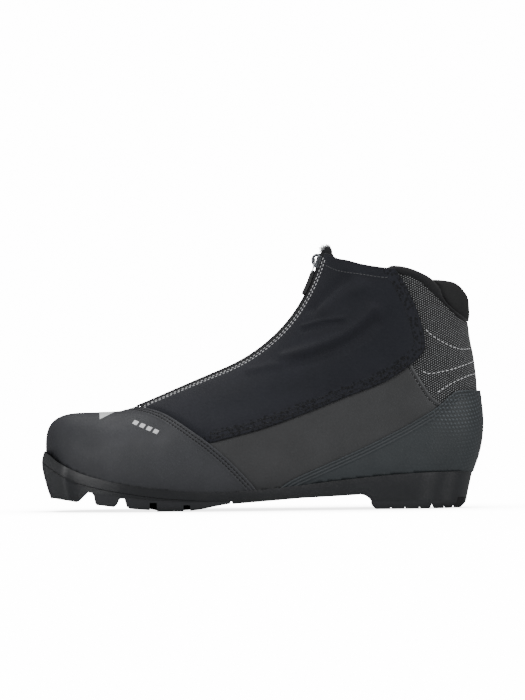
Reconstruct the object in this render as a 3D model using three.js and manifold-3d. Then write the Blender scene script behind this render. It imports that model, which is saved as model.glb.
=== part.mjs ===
// A left cross-country ski boot, size EU 42, with a zipped lace cover and a toe-bar sole.
// Millimetres, +Z up. The toe points to -X and the outer (lateral) side of the foot is -Y.
// The origin is on the ground under the middle of the boot.
import * as THREE from "three";
import { mergeVertices } from "three/addons/utils/BufferGeometryUtils.js";
import Module from "manifold-3d";

const wasm = await Module();
wasm.setup();

// ---------------------------------------------------------------- driving dimensions
const GAP = 0.35; // clearance between pieces that lie against each other
const WIDE = 80; // beyond the boot on either side
const TIP_X = -148.1; // toe tip of the upper
const TIP_Z = 40.9;
const TOE_BEND = { length: 33, height: 26.2, power: 3.3 }; // rounded toe front in side view
const ARC = { x: -73.1, z: 204.1, r: 118.6 }; // circle that the zip follows over the instep
const INSTEP_DEG = 23.2; // slope of the straight stretch of the zip below that circle
const TOP_DEG = -10; // the surface ends at this ray from the circle's centre
const BELOW = 5; // the surface runs on this far below the sole line, to be trimmed
const PLAN_POWER = 2.2; // superellipse powers of the toe and heel outlines in plan
const HEEL_POWER = 2.1;
const TOE_ROUND = { lateral: 74, medial: 54 }; // length of the toe's rounding on each side
const TUCK = { share: 0.055, height: 7 }; // the upper narrows where it meets the sole
const TOE_SWING = { start: -95, by: 4 }; // the toe tip lies this far towards the inner side

const TOE_TOP = [[-115, 67.1], [-100, 67.6], [-88, 69.9], [-80, 72.4], [-73.1, 75.1]];
const FEATHER = [ // where the upper meets the sole
  [-148.1, 40.9], [-145, 39.2], [-138.3, 33.7], [-124.7, 26.7], [-111, 22.4], [-97.4, 19.2],
  [-80.3, 16.4], [-56.4, 14], [-29.1, 12.8], [-5.2, 14], [18.7, 16.2], [46.1, 19.4],
  [73.5, 22.2], [100.8, 24.3], [128.2, 25.1], [152, 24.7],
];
const BACK = [ // heel and ankle line: height, then x
  [15, 141.6], [24.9, 143.2], [34.8, 146.7], [45.7, 149.2], [58, 150.2], [70, 149.4], [79, 148],
  [88.1, 147.4], [103.8, 145.5], [113.4, 143.6], [126, 142], [140, 140.8], [152, 138.6], [175, 136],
];
const HEEL_ROUND = [[20, 37], [60, 40], [110, 46], [175, 48]]; // length of the heel's rounding by height
const PLAN = { // half width of the foot part along x
  lateral: [[-148, 41], [-110, 44.5], [-62, 48.5], [-20, 45.5], [25, 40], [62, 37.4], [105, 35.6], [150, 34.6]],
  medial: [[-148, 41], [-112, 46], [-80, 48.5], [-35, 43.5], [20, 36.6], [60, 35.4], [105, 35.2], [150, 34.6]],
};
const SHAFT = [[20, 35.5], [60, 36], [90, 36.6], [120, 37.4], [150, 38.8], [185, 40]]; // half width by height
const RIDGE_LENGTH = [[-90, 60], [-60, 56], [-35, 52], [-10, 52]]; // rounding at the instep by ray angle
const RIDGE_POWER = [[-90, 2.45], [-62, 2.2], [-40, 2.0], [-10, 1.86]];

// How deep each layer lies under the outer surface, and how much deeper at the instep.
const LAYER = {
  outer: { from: 0, to: 1.2, lift: 0 },
  cover: { from: 0, to: 1.2, lift: 1.3 },
  chain: { from: 0, to: 2.4, lift: 0 },
  tape: { from: 1.55, to: 2.15, lift: 1.3 },
  eyestay: { from: 0, to: 1.2, lift: 7 },
  collar: { from: 0.8, to: 2.75, lift: 1.3 },
  pad: { from: 0, to: 4.1, lift: 0 },
  middle: { from: 1.55, to: 2.75, lift: 7 },
  stiffener: { from: 3.1, to: 4.1, lift: 7 },
  tongue: { from: 3.1, to: 7.2, lift: 7 },
  lining: { from: 4.45, to: 5.65, lift: 7 },
  inside: { from: 6, lift: 7 },
};
const LIFT_START = [-100, -70]; // the extra depth grows between these x
const COVER_LIFT_START = [-100, -88];
const LIFT_REACH = [14, 48]; // and fades out this far from the instep line

// Panel edges in side view
const TOE_CAP_EDGE = [[-88.6, 76], [-88, 68.7], [-76.4, 68.4], [-69.6, 67], [-62.8, 64.3], [-49.2, 55.3],
  [-35.6, 45.2], [-22.1, 33.1], [-13, 23.6], [-4.5, 14.4]];
const VAMP_EDGE = [[-56, 95], [-64, 66], [-57, 54], [-43, 44], [-30, 32], [-20, 20], [-13, 11]];
const COVER_LOW_EDGE = [[-34.2, 46.4], [-15.1, 51.2], [-1.3, 55.1], [12.4, 59.8], [39.8, 69], [67.2, 78.6],
  [81, 84], [94.7, 91.7], [101.6, 96.8], [107.6, 102], [111, 106.4]];
const COVER_BACK_EDGE = [[112, 110.4], [111.4, 116], [108.8, 128.1], [103.4, 141.8], [97.4, 153.5],
  [90.4, 163.6]];
const COVER_TOP_EDGE = [[81.8, 164.2], [68.2, 166.3], [49.7, 169.8], [40.6, 174.4]];
const COUNTER_EDGE = [[9, 13.5], [18.8, 20.1], [39.4, 29.4], [66.9, 41.6], [94.3, 54.8], [108.1, 62.5],
  [115, 66.5], [121.8, 71.6], [126.7, 76], [130.8, 78.9], [136, 80], [156, 79.8]];
const CUFF_FRONT_EDGE = [[86, 163.2], [83, 150], [86, 125], [92, 110], [102.3, 98.1], [111.7, 83],
  [115.7, 76.8],
  [121.8, 71.6], [132, 63], [156, 54]];
const CUFF_TOP_EDGE = [[93.4, 160.3], [102.2, 156.9], [109, 153.4], [115.8, 147.2], [125.9, 137.5],
  [136.1, 128.8],
  [156, 126]];
const COLLAR_TOP_EDGE = [[89.4, 165.2], [95.5, 164.4], [102.3, 162.7], [109.1, 160], [115.9, 156.2],
  [118.6, 153.6]];
const PAD_LOW_EDGE = [[119, 153.2], [124.5, 145.8], [130, 139.2], [136, 133], [156, 130]];
const PAD_TOP_EDGE = [[156, 146], [139.4, 147.2], [135, 151], [130.9, 151.9], [120.6, 154]];
const PUFF_EDGE = [[-112, 90], [-104, 45], [-100, 15]];
const STIFFENER_EDGE = [[84, 22], [92, 44], [112, 60], [132, 68], [156, 68]];
const LINING_BACK_TOP = [[160, 140], [139, 144], [131, 149], [118, 150]];
const LINING_TOP_DROP = 2;

// Sole, in side view
const SOLE_TOP_OVERHANG = 1.1;
const NOSE = { half: 20, widening: 0.3 }; // blunt front end of the sole, and its growth per millimetre of length
const SOLE_LEVELS = [ // share of the way down, share of the width, shift of the toe end, shift of the heel end
  [0, 1, 0, 0], [0.25, 1, -2.4, -1.8], [0.62, 0.975, 1, -4.2], [0.88, 0.955, 5, -8], [1, 0.93, 7, -12],
];
const OUTSOLE_LOW_EDGE = [[-160, 9.1], [-141.9, 9.1], [-138.5, 8.4], [-126.9, 6.5], [-124.9, 7.5], [-119, 13.2],
  [-97, 10.6], [-75, 7.8], [-52, 6.4], [-21.8, 6.4], [-21, 4.6], [-2.5, 5.9], [25.5, 8], [52.8, 9.2],
  [70.5, 10], [73.2, 8.4], [74.2, 5.2], [160, 5.2]];
const FOREFOOT_TREAD_TOP = [[-22.2, 6.05], [-52, 6.05], [-75, 7.45], [-97, 10.25], [-116.5, 12.5]];
const FOREFOOT_TREAD_LOW = [[-115.2, 11], [-114.3, 6.1], [-113.3, 4.7], [-101.7, 3.2], [-99.6, 4.6],
  [-98.2, 8], [-97.2, 9], [-94.4, 8.9], [-92.8, 3.5], [-90.7, 2.1], [-77.4, 1.1], [-77.2, 6], [-72.5, 6],
  [-72.3, 0], [-54.5, 0], [-54.3, 4.2], [-50, 4.2], [-49.8, 0.3], [-42.9, 1.2], [-29.2, 3.8], [-23, 4.8]];
const HEEL_TREAD = { x: [74.6, 150], top: 4.85, chamfer: 2.4 };
const HEEL_NICKS = [86.3, 95.8, 105.7, 122.5, 128.6];
const NICK = { half: 0.7, height: 1.8 };
const HEEL_NOTCH = [[111.5, -1], [113.9, 3.6], [116.3, -1]];
const BAR = { x: -135.2, z: 12.4, r: 2, length: 40, slotHalf: 15, slotX: [-141.8, -128.6], slotTop: 19 };
const RIB = { y: 15.5, half: 4.6 }; // the two channels that ride on the binding's ribs
const RIB_CEILING = [[-117, 14.2], [-97, 11.6], [-75, 8.8], [-52, 7.6], [-21, 7.8], [25, 10.4], [70, 12],
  [77, 7.2],
  [160, 7.2]];
const SHANK = { x: [-12, 88], half: 8.5, thick: 1.8 };
const BOARD_THICK = 2;
const FOOTBED_THICK = 3.5;

// Throat and zip
const THROAT = { half: 16, x: [-57, 60] };
const EYESTAY = { width: 11, x: -50, topDeg: -17.5 };
const LOOP = { r: 1.9, wire: 0.6, y: 21.5, sunk: 0.7, lines: [11, 13, 16, 22, 25] }; // section lines they sit on
const TONGUE = { half: 28, x: -66, topDeg: -16.4 };
const ZIP = { slit: 0.4, chain: 2.9, coverEdge: 5.3, tape: 11.5, x: -83.4, topDeg: -15.3 };
const STOP = { x: [-86.8, -83.8], half: 2.2 };
const END_FOLD = { points: [[41.9, 173.7], [42.2, 176.4], [43.6, 178.2], [45.2, 178.7], [46.6, 178.5],
  [48.2, 176],
  [49.4, 171.8]], half: 4.6 };
const SLIDER = { deg: -17.7, halfDeg: 2.5, half: 4.5, wall: 1.2, plate: [-1.9, -GAP], flange: 1.5 };
const LUG = { half: 1.2, r: 2.1, hole: 1.2, proud: 3.7 }; // eye on the slider for the pull link
const LINK = { half: 3.5, bar: 1.1, pitch: 9.7 };
const TAB = { deg: 22.96, length: 17.6, half: 4.2, thick: 2, neckHalf: 1.9, eye: 1.95, hole: 1.15, collarLength: 3.4 };

// ---------------------------------------------------------------- small maths
const rad = THREE.MathUtils.degToRad;
const mix = THREE.MathUtils.lerp;
const ramp = (a, b, t) => THREE.MathUtils.smoothstep(t, a, b);
const rayPoint = (deg, r) => [ARC.x + r * Math.cos(rad(deg)), ARC.z + r * Math.sin(rad(deg))];

// A smooth curve through points given by rising first coordinate.
function through(points, t) {
  const last = points.length - 1;
  if (t <= points[0][0]) return points[0][1];
  if (t >= points[last][0]) return points[last][1];
  let i = 0;
  while (points[i + 1][0] < t) i++;
  const slope = (k) => {
    const a = points[Math.max(k - 1, 0)];
    const b = points[Math.min(k + 1, last)];
    return (b[1] - a[1]) / (b[0] - a[0]);
  };
  const [x0, y0] = points[i];
  const [x1, y1] = points[i + 1];
  const h = x1 - x0;
  const u = (t - x0) / h;
  return (2 * u ** 3 - 3 * u ** 2 + 1) * y0 + (u ** 3 - 2 * u ** 2 + u) * h * slope(i)
    + (3 * u ** 2 - 2 * u ** 3) * y1 + (u ** 3 - u ** 2) * h * slope(i + 1);
}

// Rises from 0 at u = 0 to 1 at u = 1 as a superellipse does.
function closing(u, power) {
  if (u <= 0) return 0;
  return u >= 1 ? 1 : (1 - (1 - u) ** power) ** (1 / power);
}

// ---------------------------------------------------------------- the upper's surface
const feather = (x) => through(FEATHER, x);
const backX = (z) => through(BACK, z);
const swing = (x) => TOE_SWING.by * Math.max(0, (TOE_SWING.start - x) / (TOE_SWING.start - TIP_X)) ** 1.5;
const LINE_START = rayPoint(INSTEP_DEG - 90, ARC.r); // where the straight stretch meets the circle

// Height of the toe and instep line above the ground.
function topZ(x) {
  if (x < TOE_TOP[0][0]) {
    return TIP_Z + TOE_BEND.height * closing((x - TIP_X) / TOE_BEND.length, TOE_BEND.power);
  }
  if (x < ARC.x) return through(TOE_TOP, x);
  return LINE_START[1] + (x - LINE_START[0]) * Math.tan(rad(INSTEP_DEG));
}

// How far the front line lies from the circle's centre along a ray.
function frontRadius(deg) {
  if (deg > INSTEP_DEG - 90) return ARC.r;
  const slope = Math.tan(rad(INSTEP_DEG));
  const fall = LINE_START[1] - ARC.z - slope * (LINE_START[0] - ARC.x);
  return fall / (Math.sin(rad(deg)) - slope * Math.cos(rad(deg)));
}

// Half width of the upper on one side at a point of the side view. `front` is the way there from the front
// line, and `reach` is the length that the rounding at the front line takes.
function halfWidth(side, x, z, front, reach, power) {
  const plan = mix(through(PLAN[side], x), through(SHAFT, z), ramp(45, 120, z));
  const tuck = 1 - TUCK.share * Math.exp(-Math.max(z - feather(x), 0) / TUCK.height);
  return plan * tuck * closing((x - TIP_X) / TOE_ROUND[side], PLAN_POWER)
    * closing((backX(z) - x) / through(HEEL_ROUND, z), HEEL_POWER) * closing(front / reach, power);
}

// An upright section line across the toe.
function uprightLine(x) {
  const reach = topZ(x) - feather(x);
  return { from: [x, topZ(x)], to: [x, feather(x) - BELOW], reach: reach + 0.01, power: RIDGE_POWER[0][1] };
}

// A section line from the front line, straight away from the circle's centre, to a point of the sole or heel.
function rayLine(target) {
  const deg = THREE.MathUtils.radToDeg(Math.atan2(target[1] - ARC.z, target[0] - ARC.x));
  return {
    from: rayPoint(deg, frontRadius(deg)),
    to: target,
    reach: through(RIDGE_LENGTH, deg),
    power: through(RIDGE_POWER, deg),
  };
}

const TOE_LINES = 8;
const TOE_LINES_STOP = 3; // the last one stands this far before the instep circle's centre
const TOE_CROWDING = 1.7; // how much closer together they stand at the tip
const SOLE_TARGETS = [-73.1, -48, -22, 5, 32, 58, 80, 100, 117, 130, 138.5];
const HEEL_TARGETS = [20, 32, 46, 62, 79, 96, 112, 128, 142, 154];
const AROUND = 6; // steps from the front line to the sole on each side

function sectionLines() {
  const toeLength = ARC.x - TOE_LINES_STOP - TIP_X;
  const toe = [...Array(TOE_LINES)].map((_, k) => {
    return uprightLine(TIP_X + toeLength * (k / (TOE_LINES - 1)) ** TOE_CROWDING);
  });
  const sole = SOLE_TARGETS.map((x) => rayLine([x, feather(x) - BELOW]));
  const heel = HEEL_TARGETS.map((z) => rayLine([backX(z), z]));
  const topEnd = 210; // beyond the back along the last ray
  let r = topEnd;
  while (rayPoint(TOP_DEG, r)[0] < backX(rayPoint(TOP_DEG, r)[1])) r += 0.1;
  return [...toe, ...sole, ...heel, rayLine(rayPoint(TOP_DEG, r))];
}

// Rings of surface points from the outer sole edge over the front line to the inner sole edge,
// each with its distance from the front line.
const RINGS = sectionLines().map(({ from, to, reach, power }) => {
  const length = Math.hypot(to[0] - from[0], to[1] - from[1]);
  return [...Array(2 * AROUND + 1)].map((_, k) => {
    const u = Math.abs(k - AROUND) / AROUND;
    const share = mix(u, (1 - Math.cos(Math.PI * u)) / 2, 0.75);
    const x = mix(from[0], to[0], share);
    const z = mix(from[1], to[1], share);
    const onBack = x >= backX(z) - 0.01;
    const w = onBack ? 0 : halfWidth(k < AROUND ? "lateral" : "medial", x, z, share * length, reach, power);
    return { point: new THREE.Vector3(x, swing(x) + (k < AROUND ? -w : w), z), front: share * length };
  });
});

// ---------------------------------------------------------------- solids
function solidFrom(geometry) {
  const bare = geometry.index ? geometry.toNonIndexed() : geometry.clone();
  bare.deleteAttribute("normal");
  bare.deleteAttribute("uv");
  const merged = mergeVertices(bare, 1e-4);
  const index = merged.index.array;
  const kept = [];
  for (let i = 0; i < index.length; i += 3) {
    const [a, b, c] = [index[i], index[i + 1], index[i + 2]];
    if (a !== b && b !== c && c !== a) kept.push(a, b, c);
  }
  return new wasm.Manifold(new wasm.Mesh({
    numProp: 3,
    vertProperties: new Float32Array(merged.attributes.position.array),
    triVerts: new Uint32Array(kept),
  }));
}

function geometryFrom(solid) {
  const mesh = solid.getMesh();
  const geometry = new THREE.BufferGeometry();
  geometry.setAttribute("position", new THREE.BufferAttribute(new Float32Array(mesh.vertProperties), 3));
  geometry.setIndex(new THREE.BufferAttribute(new Uint32Array(mesh.triVerts), 1));
  return geometry;
}

const largest = (solid) => solid.decompose().sort((a, b) => b.volume() - a.volume())[0];

// Triangles as one geometry from a list of corner points.
function trianglesToSolid(corners) {
  const geometry = new THREE.BufferGeometry();
  geometry.setAttribute("position", new THREE.Float32BufferAttribute(corners.flatMap((p) => [p.x, p.y, p.z]), 3));
  return solidFrom(geometry);
}

// Outward direction at each ring point, from the walls around it; points that coincide share one.
function outwardDirections() {
  const key = ({ point }) => [point.x, point.y, point.z].map((v) => Math.round(v * 1e3)).join();
  const sums = new Map();
  for (let i = 0; i + 1 < RINGS.length; i++) {
    for (let j = 0; j < 2 * AROUND; j++) {
      const corners = [RINGS[i][j], RINGS[i + 1][j], RINGS[i + 1][j + 1], RINGS[i][j + 1]];
      const across = corners[2].point.clone().sub(corners[0].point);
      const other = corners[3].point.clone().sub(corners[1].point);
      const normal = across.cross(other);
      for (const corner of corners) {
        if (!sums.has(key(corner))) sums.set(key(corner), new THREE.Vector3());
        sums.get(key(corner)).add(normal);
      }
    }
  }
  return RINGS.map((ring) => ring.map((corner) => sums.get(key(corner)).clone().normalize()));
}
const OUTWARD = outwardDirections();

// The rings of the surface that lies this deep, with the extra depth at the instep.
function ringsAt(depth, lift) {
  const [start, end] = lift > 2 ? LIFT_START : COVER_LIFT_START;
  return RINGS.map((ring, i) => ring.map(({ point, front }, j) => {
    const extra = lift * ramp(start, end, ring[AROUND].point.x) * (1 - ramp(LIFT_REACH[0], LIFT_REACH[1], front));
    return point.clone().addScaledVector(OUTWARD[i][j], -depth - extra);
  }));
}

// Everything deeper than `depth` under the outer surface, as one solid.
const skins = new Map();
function skin(depth, lift) {
  const name = `${depth}/${lift}`;
  if (skins.has(name)) return skins.get(name);
  const rings = ringsAt(depth, lift);
  const corners = [];
  const size = 2 * AROUND + 1;
  for (let i = 0; i + 1 < rings.length; i++) {
    for (let j = 0; j < size; j++) {
      const k = (j + 1) % size;
      corners.push(rings[i][j], rings[i + 1][j], rings[i + 1][k]);
      corners.push(rings[i][j], rings[i + 1][k], rings[i][k]);
    }
  }
  const last = rings[rings.length - 1];
  const middle = last.reduce((sum, p) => sum.add(p), new THREE.Vector3()).divideScalar(size);
  for (let j = 0; j < size; j++) corners.push(middle, last[(j + 1) % size], last[j]);
  skins.set(name, trianglesToSolid(corners));
  return skins.get(name);
}

// Extrudes a side-view outline across the boot between two values of y.
function across(points, yMin = -WIDE, yMax = WIDE) {
  const geometry = new THREE.ExtrudeGeometry(new THREE.Shape(points.map(([x, z]) => new THREE.Vector2(x, z))), {
    depth: yMax - yMin,
    bevelEnabled: false,
  });
  geometry.rotateX(Math.PI / 2);
  geometry.translate(0, yMax, 0);
  return solidFrom(geometry);
}

function block(x, y, z) {
  const geometry = new THREE.BoxGeometry(x[1] - x[0], y[1] - y[0], z[1] - z[0]);
  geometry.translate((x[0] + x[1]) / 2, (y[0] + y[1]) / 2, (z[0] + z[1]) / 2);
  return solidFrom(geometry);
}

// A cylinder across the boot, centred on y = 0.
function rod(x, z, r, length, sides = 12) {
  const geometry = new THREE.CylinderGeometry(r, r, length, sides);
  geometry.translate(x, 0, z);
  return solidFrom(geometry);
}

const sideRange = (side, inner) => (side === "lateral" ? [-WIDE, -inner] : [inner, WIDE]);
const reversed = (points) => [...points].reverse();

// The line where the upper meets the sole, raised by some amount and run on past both ends.
const soleLine = (raise) => [[-165, TIP_Z], ...FEATHER, [165, FEATHER[FEATHER.length - 1][1]]]
  .map(([x, z]) => [x, z + raise]);

// A band along the front line, from x to a ray, between two depths.
function frontBand(x, topDeg, above, deep) {
  const steps = 9;
  const startDeg = INSTEP_DEG - 90;
  const foot = (depth) => [x, topZ(x) - depth / Math.cos(rad(INSTEP_DEG))];
  const degs = [...Array(steps + 1)].map((_, k) => mix(startDeg, topDeg, k / steps));
  const along = (depth) => degs.map((deg) => rayPoint(deg, ARC.r + depth));
  return [foot(deep), ...along(deep), ...reversed(along(-above)), foot(-above)];
}

// A piece of one layer inside a side-view outline, standing just above the sole.
const LOW = -5; // outlines that reach the sole run down to here and are cut by the sole line
const ABOVE_SOLE = across([...soleLine(GAP / 2), [165, 250], [-165, 250]]);
function panel({ from, to, lift }, outline, range = [-WIDE, WIDE]) {
  return skin(from, lift).subtract(skin(to, lift)).intersect(across(outline, ...range)).intersect(ABOVE_SOLE);
}

const group = new THREE.Group();
function add(name, solid, color, roughness = 0.7, metalness = 0) {
  const material = new THREE.MeshStandardMaterial({ color, roughness, metalness });
  const mesh = new THREE.Mesh(geometryFrom(largest(solid)), material);
  mesh.name = name;
  group.add(mesh);
}

// ---------------------------------------------------------------- sole
// Height of the sole's top edge and the solid block that the sole's pieces are cut from.
function soleBlank() {
  const stops = 14;
  const backEnd = backX(feather(143));
  const outline = [];
  for (let k = 0; k <= 2 * stops; k++) {
    const side = k <= stops ? "medial" : "lateral";
    const u = (side === "medial" ? k : 2 * stops + 1 - k) / stops;
    const x = mix(backEnd, TIP_X, (1 - Math.cos(Math.PI * u)) / 2);
    const w = halfWidth(side, x, feather(x), 1, 1, 1);
    const out = w + SOLE_TOP_OVERHANG * Math.min(1, w / 10);
    const nose = x < ARC.x ? NOSE.half + NOSE.widening * (x - TIP_X) : 0;
    outline.push([x, side === "lateral" ? Math.min(swing(x) - out, -nose) : Math.max(swing(x) + out, nose)]);
  }
  const rings = SOLE_LEVELS.map(([down, width, toeShift, heelShift]) => outline.map(([x, y]) => {
    const shift = toeShift * (1 - ramp(-150, -110, x)) + heelShift * ramp(70, 143, x);
    return new THREE.Vector3(x + shift, y * width, mix(feather(x) + 3, 0, down));
  }));
  const corners = [];
  const size = outline.length;
  for (let i = 0; i + 1 < rings.length; i++) {
    for (let j = 0; j < size; j++) {
      const k = (j + 1) % size;
      corners.push(rings[i][j], rings[i + 1][j], rings[i + 1][k]);
      corners.push(rings[i][j], rings[i + 1][k], rings[i][k]);
    }
  }
  for (let j = 0; j < stops; j++) { // strips across close the top and the bottom
    const far = (size - j) % size;
    const next = j + 1;
    const farNext = size - j - 1;
    const top = rings[0];
    const low = rings[rings.length - 1];
    corners.push(top[j], top[next], top[farNext], top[j], top[farNext], top[far]);
    corners.push(low[j], low[farNext], low[next], low[j], low[far], low[farNext]);
  }
  return trianglesToSolid(corners).intersect(across([...soleLine(-GAP / 2), [165, -20], [-165, -20]]));
}
const SOLE = soleBlank();

function addOutsole() {
  const aboveEdge = across([...OUTSOLE_LOW_EDGE, [160, 60], [-160, 60]]);
  const slot = block(BAR.slotX, [-BAR.slotHalf, BAR.slotHalf], [-5, BAR.slotTop]);
  const seat = rod(BAR.x, BAR.z, BAR.r + GAP, BAR.length + 2 * GAP);
  const shankBed = shankOutline(GAP);
  let outsole = SOLE.intersect(aboveEdge).subtract(slot).subtract(seat).subtract(shankBed);
  for (const y of [-RIB.y, RIB.y]) {
    outsole = outsole.subtract(across([...RIB_CEILING, [160, -5], [-117, -5]], y - RIB.half, y + RIB.half));
  }
  add("outsole", outsole, 0x333437, 0.5);
}

// The steel shank lies in a bed in the outsole's top; `grow` widens it into that bed.
function shankOutline(grow) {
  const top = soleLine(grow > 0 ? 2 : -GAP);
  const low = soleLine(-GAP - SHANK.thick - grow);
  const [start, end] = SHANK.x;
  return across([...low, ...reversed(top)], -SHANK.half - grow, SHANK.half + grow)
    .intersect(block([start - grow, end + grow], [-WIDE, WIDE], [0, 60]));
}

const STRIPS = {
  lateral: [-WIDE, -RIB.y - RIB.half],
  centre: [-RIB.y + RIB.half, RIB.y - RIB.half],
  medial: [RIB.y + RIB.half, WIDE],
};

function addTreads() {
  const heelOutline = [[HEEL_TREAD.x[0], HEEL_TREAD.chamfer], [HEEL_TREAD.x[0] + HEEL_TREAD.chamfer, 0],
    [HEEL_TREAD.x[1], 0], [HEEL_TREAD.x[1], HEEL_TREAD.top], [HEEL_TREAD.x[0], HEEL_TREAD.top]];
  for (const [name, [yMin, yMax]] of Object.entries(STRIPS)) {
    const strip = (points) => SOLE.intersect(across(points, yMin, yMax));
    add(`tread_forefoot_${name}`, strip([...FOREFOOT_TREAD_LOW, ...FOREFOOT_TREAD_TOP]), 0x2f3033, 0.75);
    let heel = strip(heelOutline).subtract(across(HEEL_NOTCH));
    for (const x of HEEL_NICKS) {
      heel = heel.subtract(block([x - NICK.half, x + NICK.half], [-WIDE, WIDE], [-1, NICK.height]));
    }
    add(`tread_heel_${name}`, heel, 0x2f3033, 0.75);
  }
}

function addInnerSole() {
  add("toe_bar", rod(BAR.x, BAR.z, BAR.r, BAR.length), 0xb9bcc0, 0.25, 1);
  add("shank", shankOutline(0), 0x8a8d92, 0.35, 1);
  const plate = (low, high, skinDepth) => skin(skinDepth.from, skinDepth.lift)
    .intersect(across([...soleLine(low), ...reversed(soleLine(high))]));
  add("insole_board", plate(GAP / 2, GAP / 2 + BOARD_THICK, LAYER.lining), 0x6b5a45, 0.9);
  const footbedLow = GAP / 2 + BOARD_THICK + GAP;
  add("footbed", plate(footbedLow, footbedLow + FOOTBED_THICK, LAYER.inside), 0x26282b, 0.95);
}

// ---------------------------------------------------------------- upper
const FAR_TOE = -160;
const FAR_HEEL = 160;
const downFrom = (points) => [points[points.length - 1][0], LOW]; // straight down from the last point

function addToe() {
  const inFrontOf = (edge) => [[FAR_TOE, LOW], [FAR_TOE, 100], ...edge, downFrom(edge)];
  add("toe_cap", panel(LAYER.outer, inFrontOf(TOE_CAP_EDGE)), 0x4a4b4f, 0.62);
  add("vamp", panel(LAYER.middle, inFrontOf(VAMP_EDGE)), 0x1d1e21, 0.9);
  add("toe_puff", panel(LAYER.stiffener, inFrontOf(PUFF_EDGE)), 0x8c8f88, 0.6);
}

function addQuarters() {
  const front = VAMP_EDGE.map(([x, z]) => [x + GAP + 0.1, z]);
  const back = CUFF_FRONT_EDGE.map(([x, z]) => [x - GAP, z - GAP]);
  const outline = [downFrom(front), ...reversed(front), [40, 176], ...back, [FAR_HEEL, LOW]];
  const throat = block([-THROAT.x[1] - 60, THROAT.x[1]], [-THROAT.half, THROAT.half], [60, 220]);
  for (const side of ["lateral", "medial"]) {
    const quarter = panel(LAYER.middle, outline, sideRange(side, GAP / 2)).subtract(throat);
    add(`quarter_${side}`, quarter, 0x424347, 0.85);
  }
}

function addHeel() {
  const under = (edge) => [downFrom([edge[0]]), ...edge, [FAR_HEEL, LOW]];
  add("heel_counter", panel(LAYER.outer, under(COUNTER_EDGE)), 0x393d40, 0.55);
  add("counter_stiffener", panel(LAYER.stiffener, under(STIFFENER_EDGE)), 0x8c8f88, 0.6);
  add("cuff_mesh", panel(LAYER.middle, [...CUFF_FRONT_EDGE, ...reversed(CUFF_TOP_EDGE)]), 0x3a3b3e, 0.95);
  const collarLow = CUFF_TOP_EDGE.map(([x, z]) => [x, z + GAP + 0.1]);
  const padLow = PAD_LOW_EDGE.map(([x, z]) => [x - 0.3, z - GAP]);
  const collar = [...collarLow, ...reversed(padLow), ...reversed(COLLAR_TOP_EDGE)];
  add("collar_binding", panel(LAYER.collar, collar), 0x1b1c1f, 0.6);
  add("achilles_pad", panel(LAYER.pad, [...PAD_LOW_EDGE, ...PAD_TOP_EDGE]), 0x1c1d20, 0.9);
}

function addLining() {
  const top = [...LINING_BACK_TOP, ...reversed(COLLAR_TOP_EDGE.slice(0, 4)), ...COVER_TOP_EDGE]
    .map(([x, z]) => [x, z - LINING_TOP_DROP]);
  const room = across(frontBand(TONGUE.x - GAP, TOP_DEG, 30, 60), -TONGUE.half - GAP, TONGUE.half + GAP);
  const aboveBoard = across([...soleLine(GAP / 2 + BOARD_THICK + GAP), [165, 250], [-165, 250]]);
  const lining = panel(LAYER.lining, [[FAR_TOE, LOW], [FAR_HEEL, LOW], ...top, [FAR_TOE, 172]]);
  add("lining", lining.intersect(aboveBoard).subtract(room), 0x2b2c30, 0.95);
  const tongueRange = [-TONGUE.half, TONGUE.half];
  const tongue = panel(LAYER.tongue, frontBand(TONGUE.x, TONGUE.topDeg, 30, 45), tongueRange);
  add("tongue", tongue, 0x232428, 0.95);
}

// A lace loop on one section line of a layer; its axis follows the instep.
function laceLoop(line, sign) {
  const { from, lift } = LAYER.eyestay;
  const ring = ringsAt(from + LOOP.sunk, lift)[line];
  const half = (sign < 0 ? ring.slice(0, AROUND + 1) : reversed(ring.slice(AROUND))).map((p) => p.clone());
  let k = 0;
  while (Math.abs(half[k + 1].y) > LOOP.y) k++;
  const [outer, inner] = [half[k], half[k + 1]];
  const centre = outer.clone().lerp(inner, (Math.abs(outer.y) - LOOP.y) / (Math.abs(outer.y) - Math.abs(inner.y)));
  const before = ringsAt(from, lift)[line - 1][AROUND];
  const after = ringsAt(from, lift)[line + 1][AROUND];
  const torus = new THREE.TorusGeometry(LOOP.r, LOOP.wire, 4, 8);
  torus.lookAt(after.clone().sub(before));
  torus.translate(centre.x, centre.y, centre.z);
  return solidFrom(torus);
}

function addEyestays() {
  const { to, lift } = LAYER.eyestay;
  for (const [side, sign] of [["lateral", -1], ["medial", 1]]) {
    const inner = THROAT.half + GAP;
    const range = [sign * inner, sign * (inner + EYESTAY.width)].sort((a, b) => a - b);
    let strip = panel(LAYER.eyestay, frontBand(EYESTAY.x, EYESTAY.topDeg, 20, 40), range);
    for (const line of LOOP.lines) strip = strip.add(laceLoop(line, sign));
    add(`eyestay_${side}`, strip.subtract(skin(to, lift)), 0x151618, 0.8);
  }
}

function addCover() {
  const front = reversed(TOE_CAP_EDGE.filter(([, z]) => z > 45)).map(([x, z]) => [x + GAP + 0.1, z + GAP]);
  const outline = [...front, [-88, 110], [20, 200], ...reversed(COVER_TOP_EDGE), ...reversed(COVER_BACK_EDGE),
    ...reversed(COVER_LOW_EDGE)];
  for (const side of ["lateral", "medial"]) {
    const whole = panel(LAYER.cover, outline, sideRange(side, GAP / 2));
    const zipGap = across(frontBand(-95, TOP_DEG, 30, 30), -ZIP.coverEdge, ZIP.coverEdge);
    add(`cover_${side}`, whole.subtract(zipGap), 0x2b2c31, 0.8);
  }
}

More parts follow.
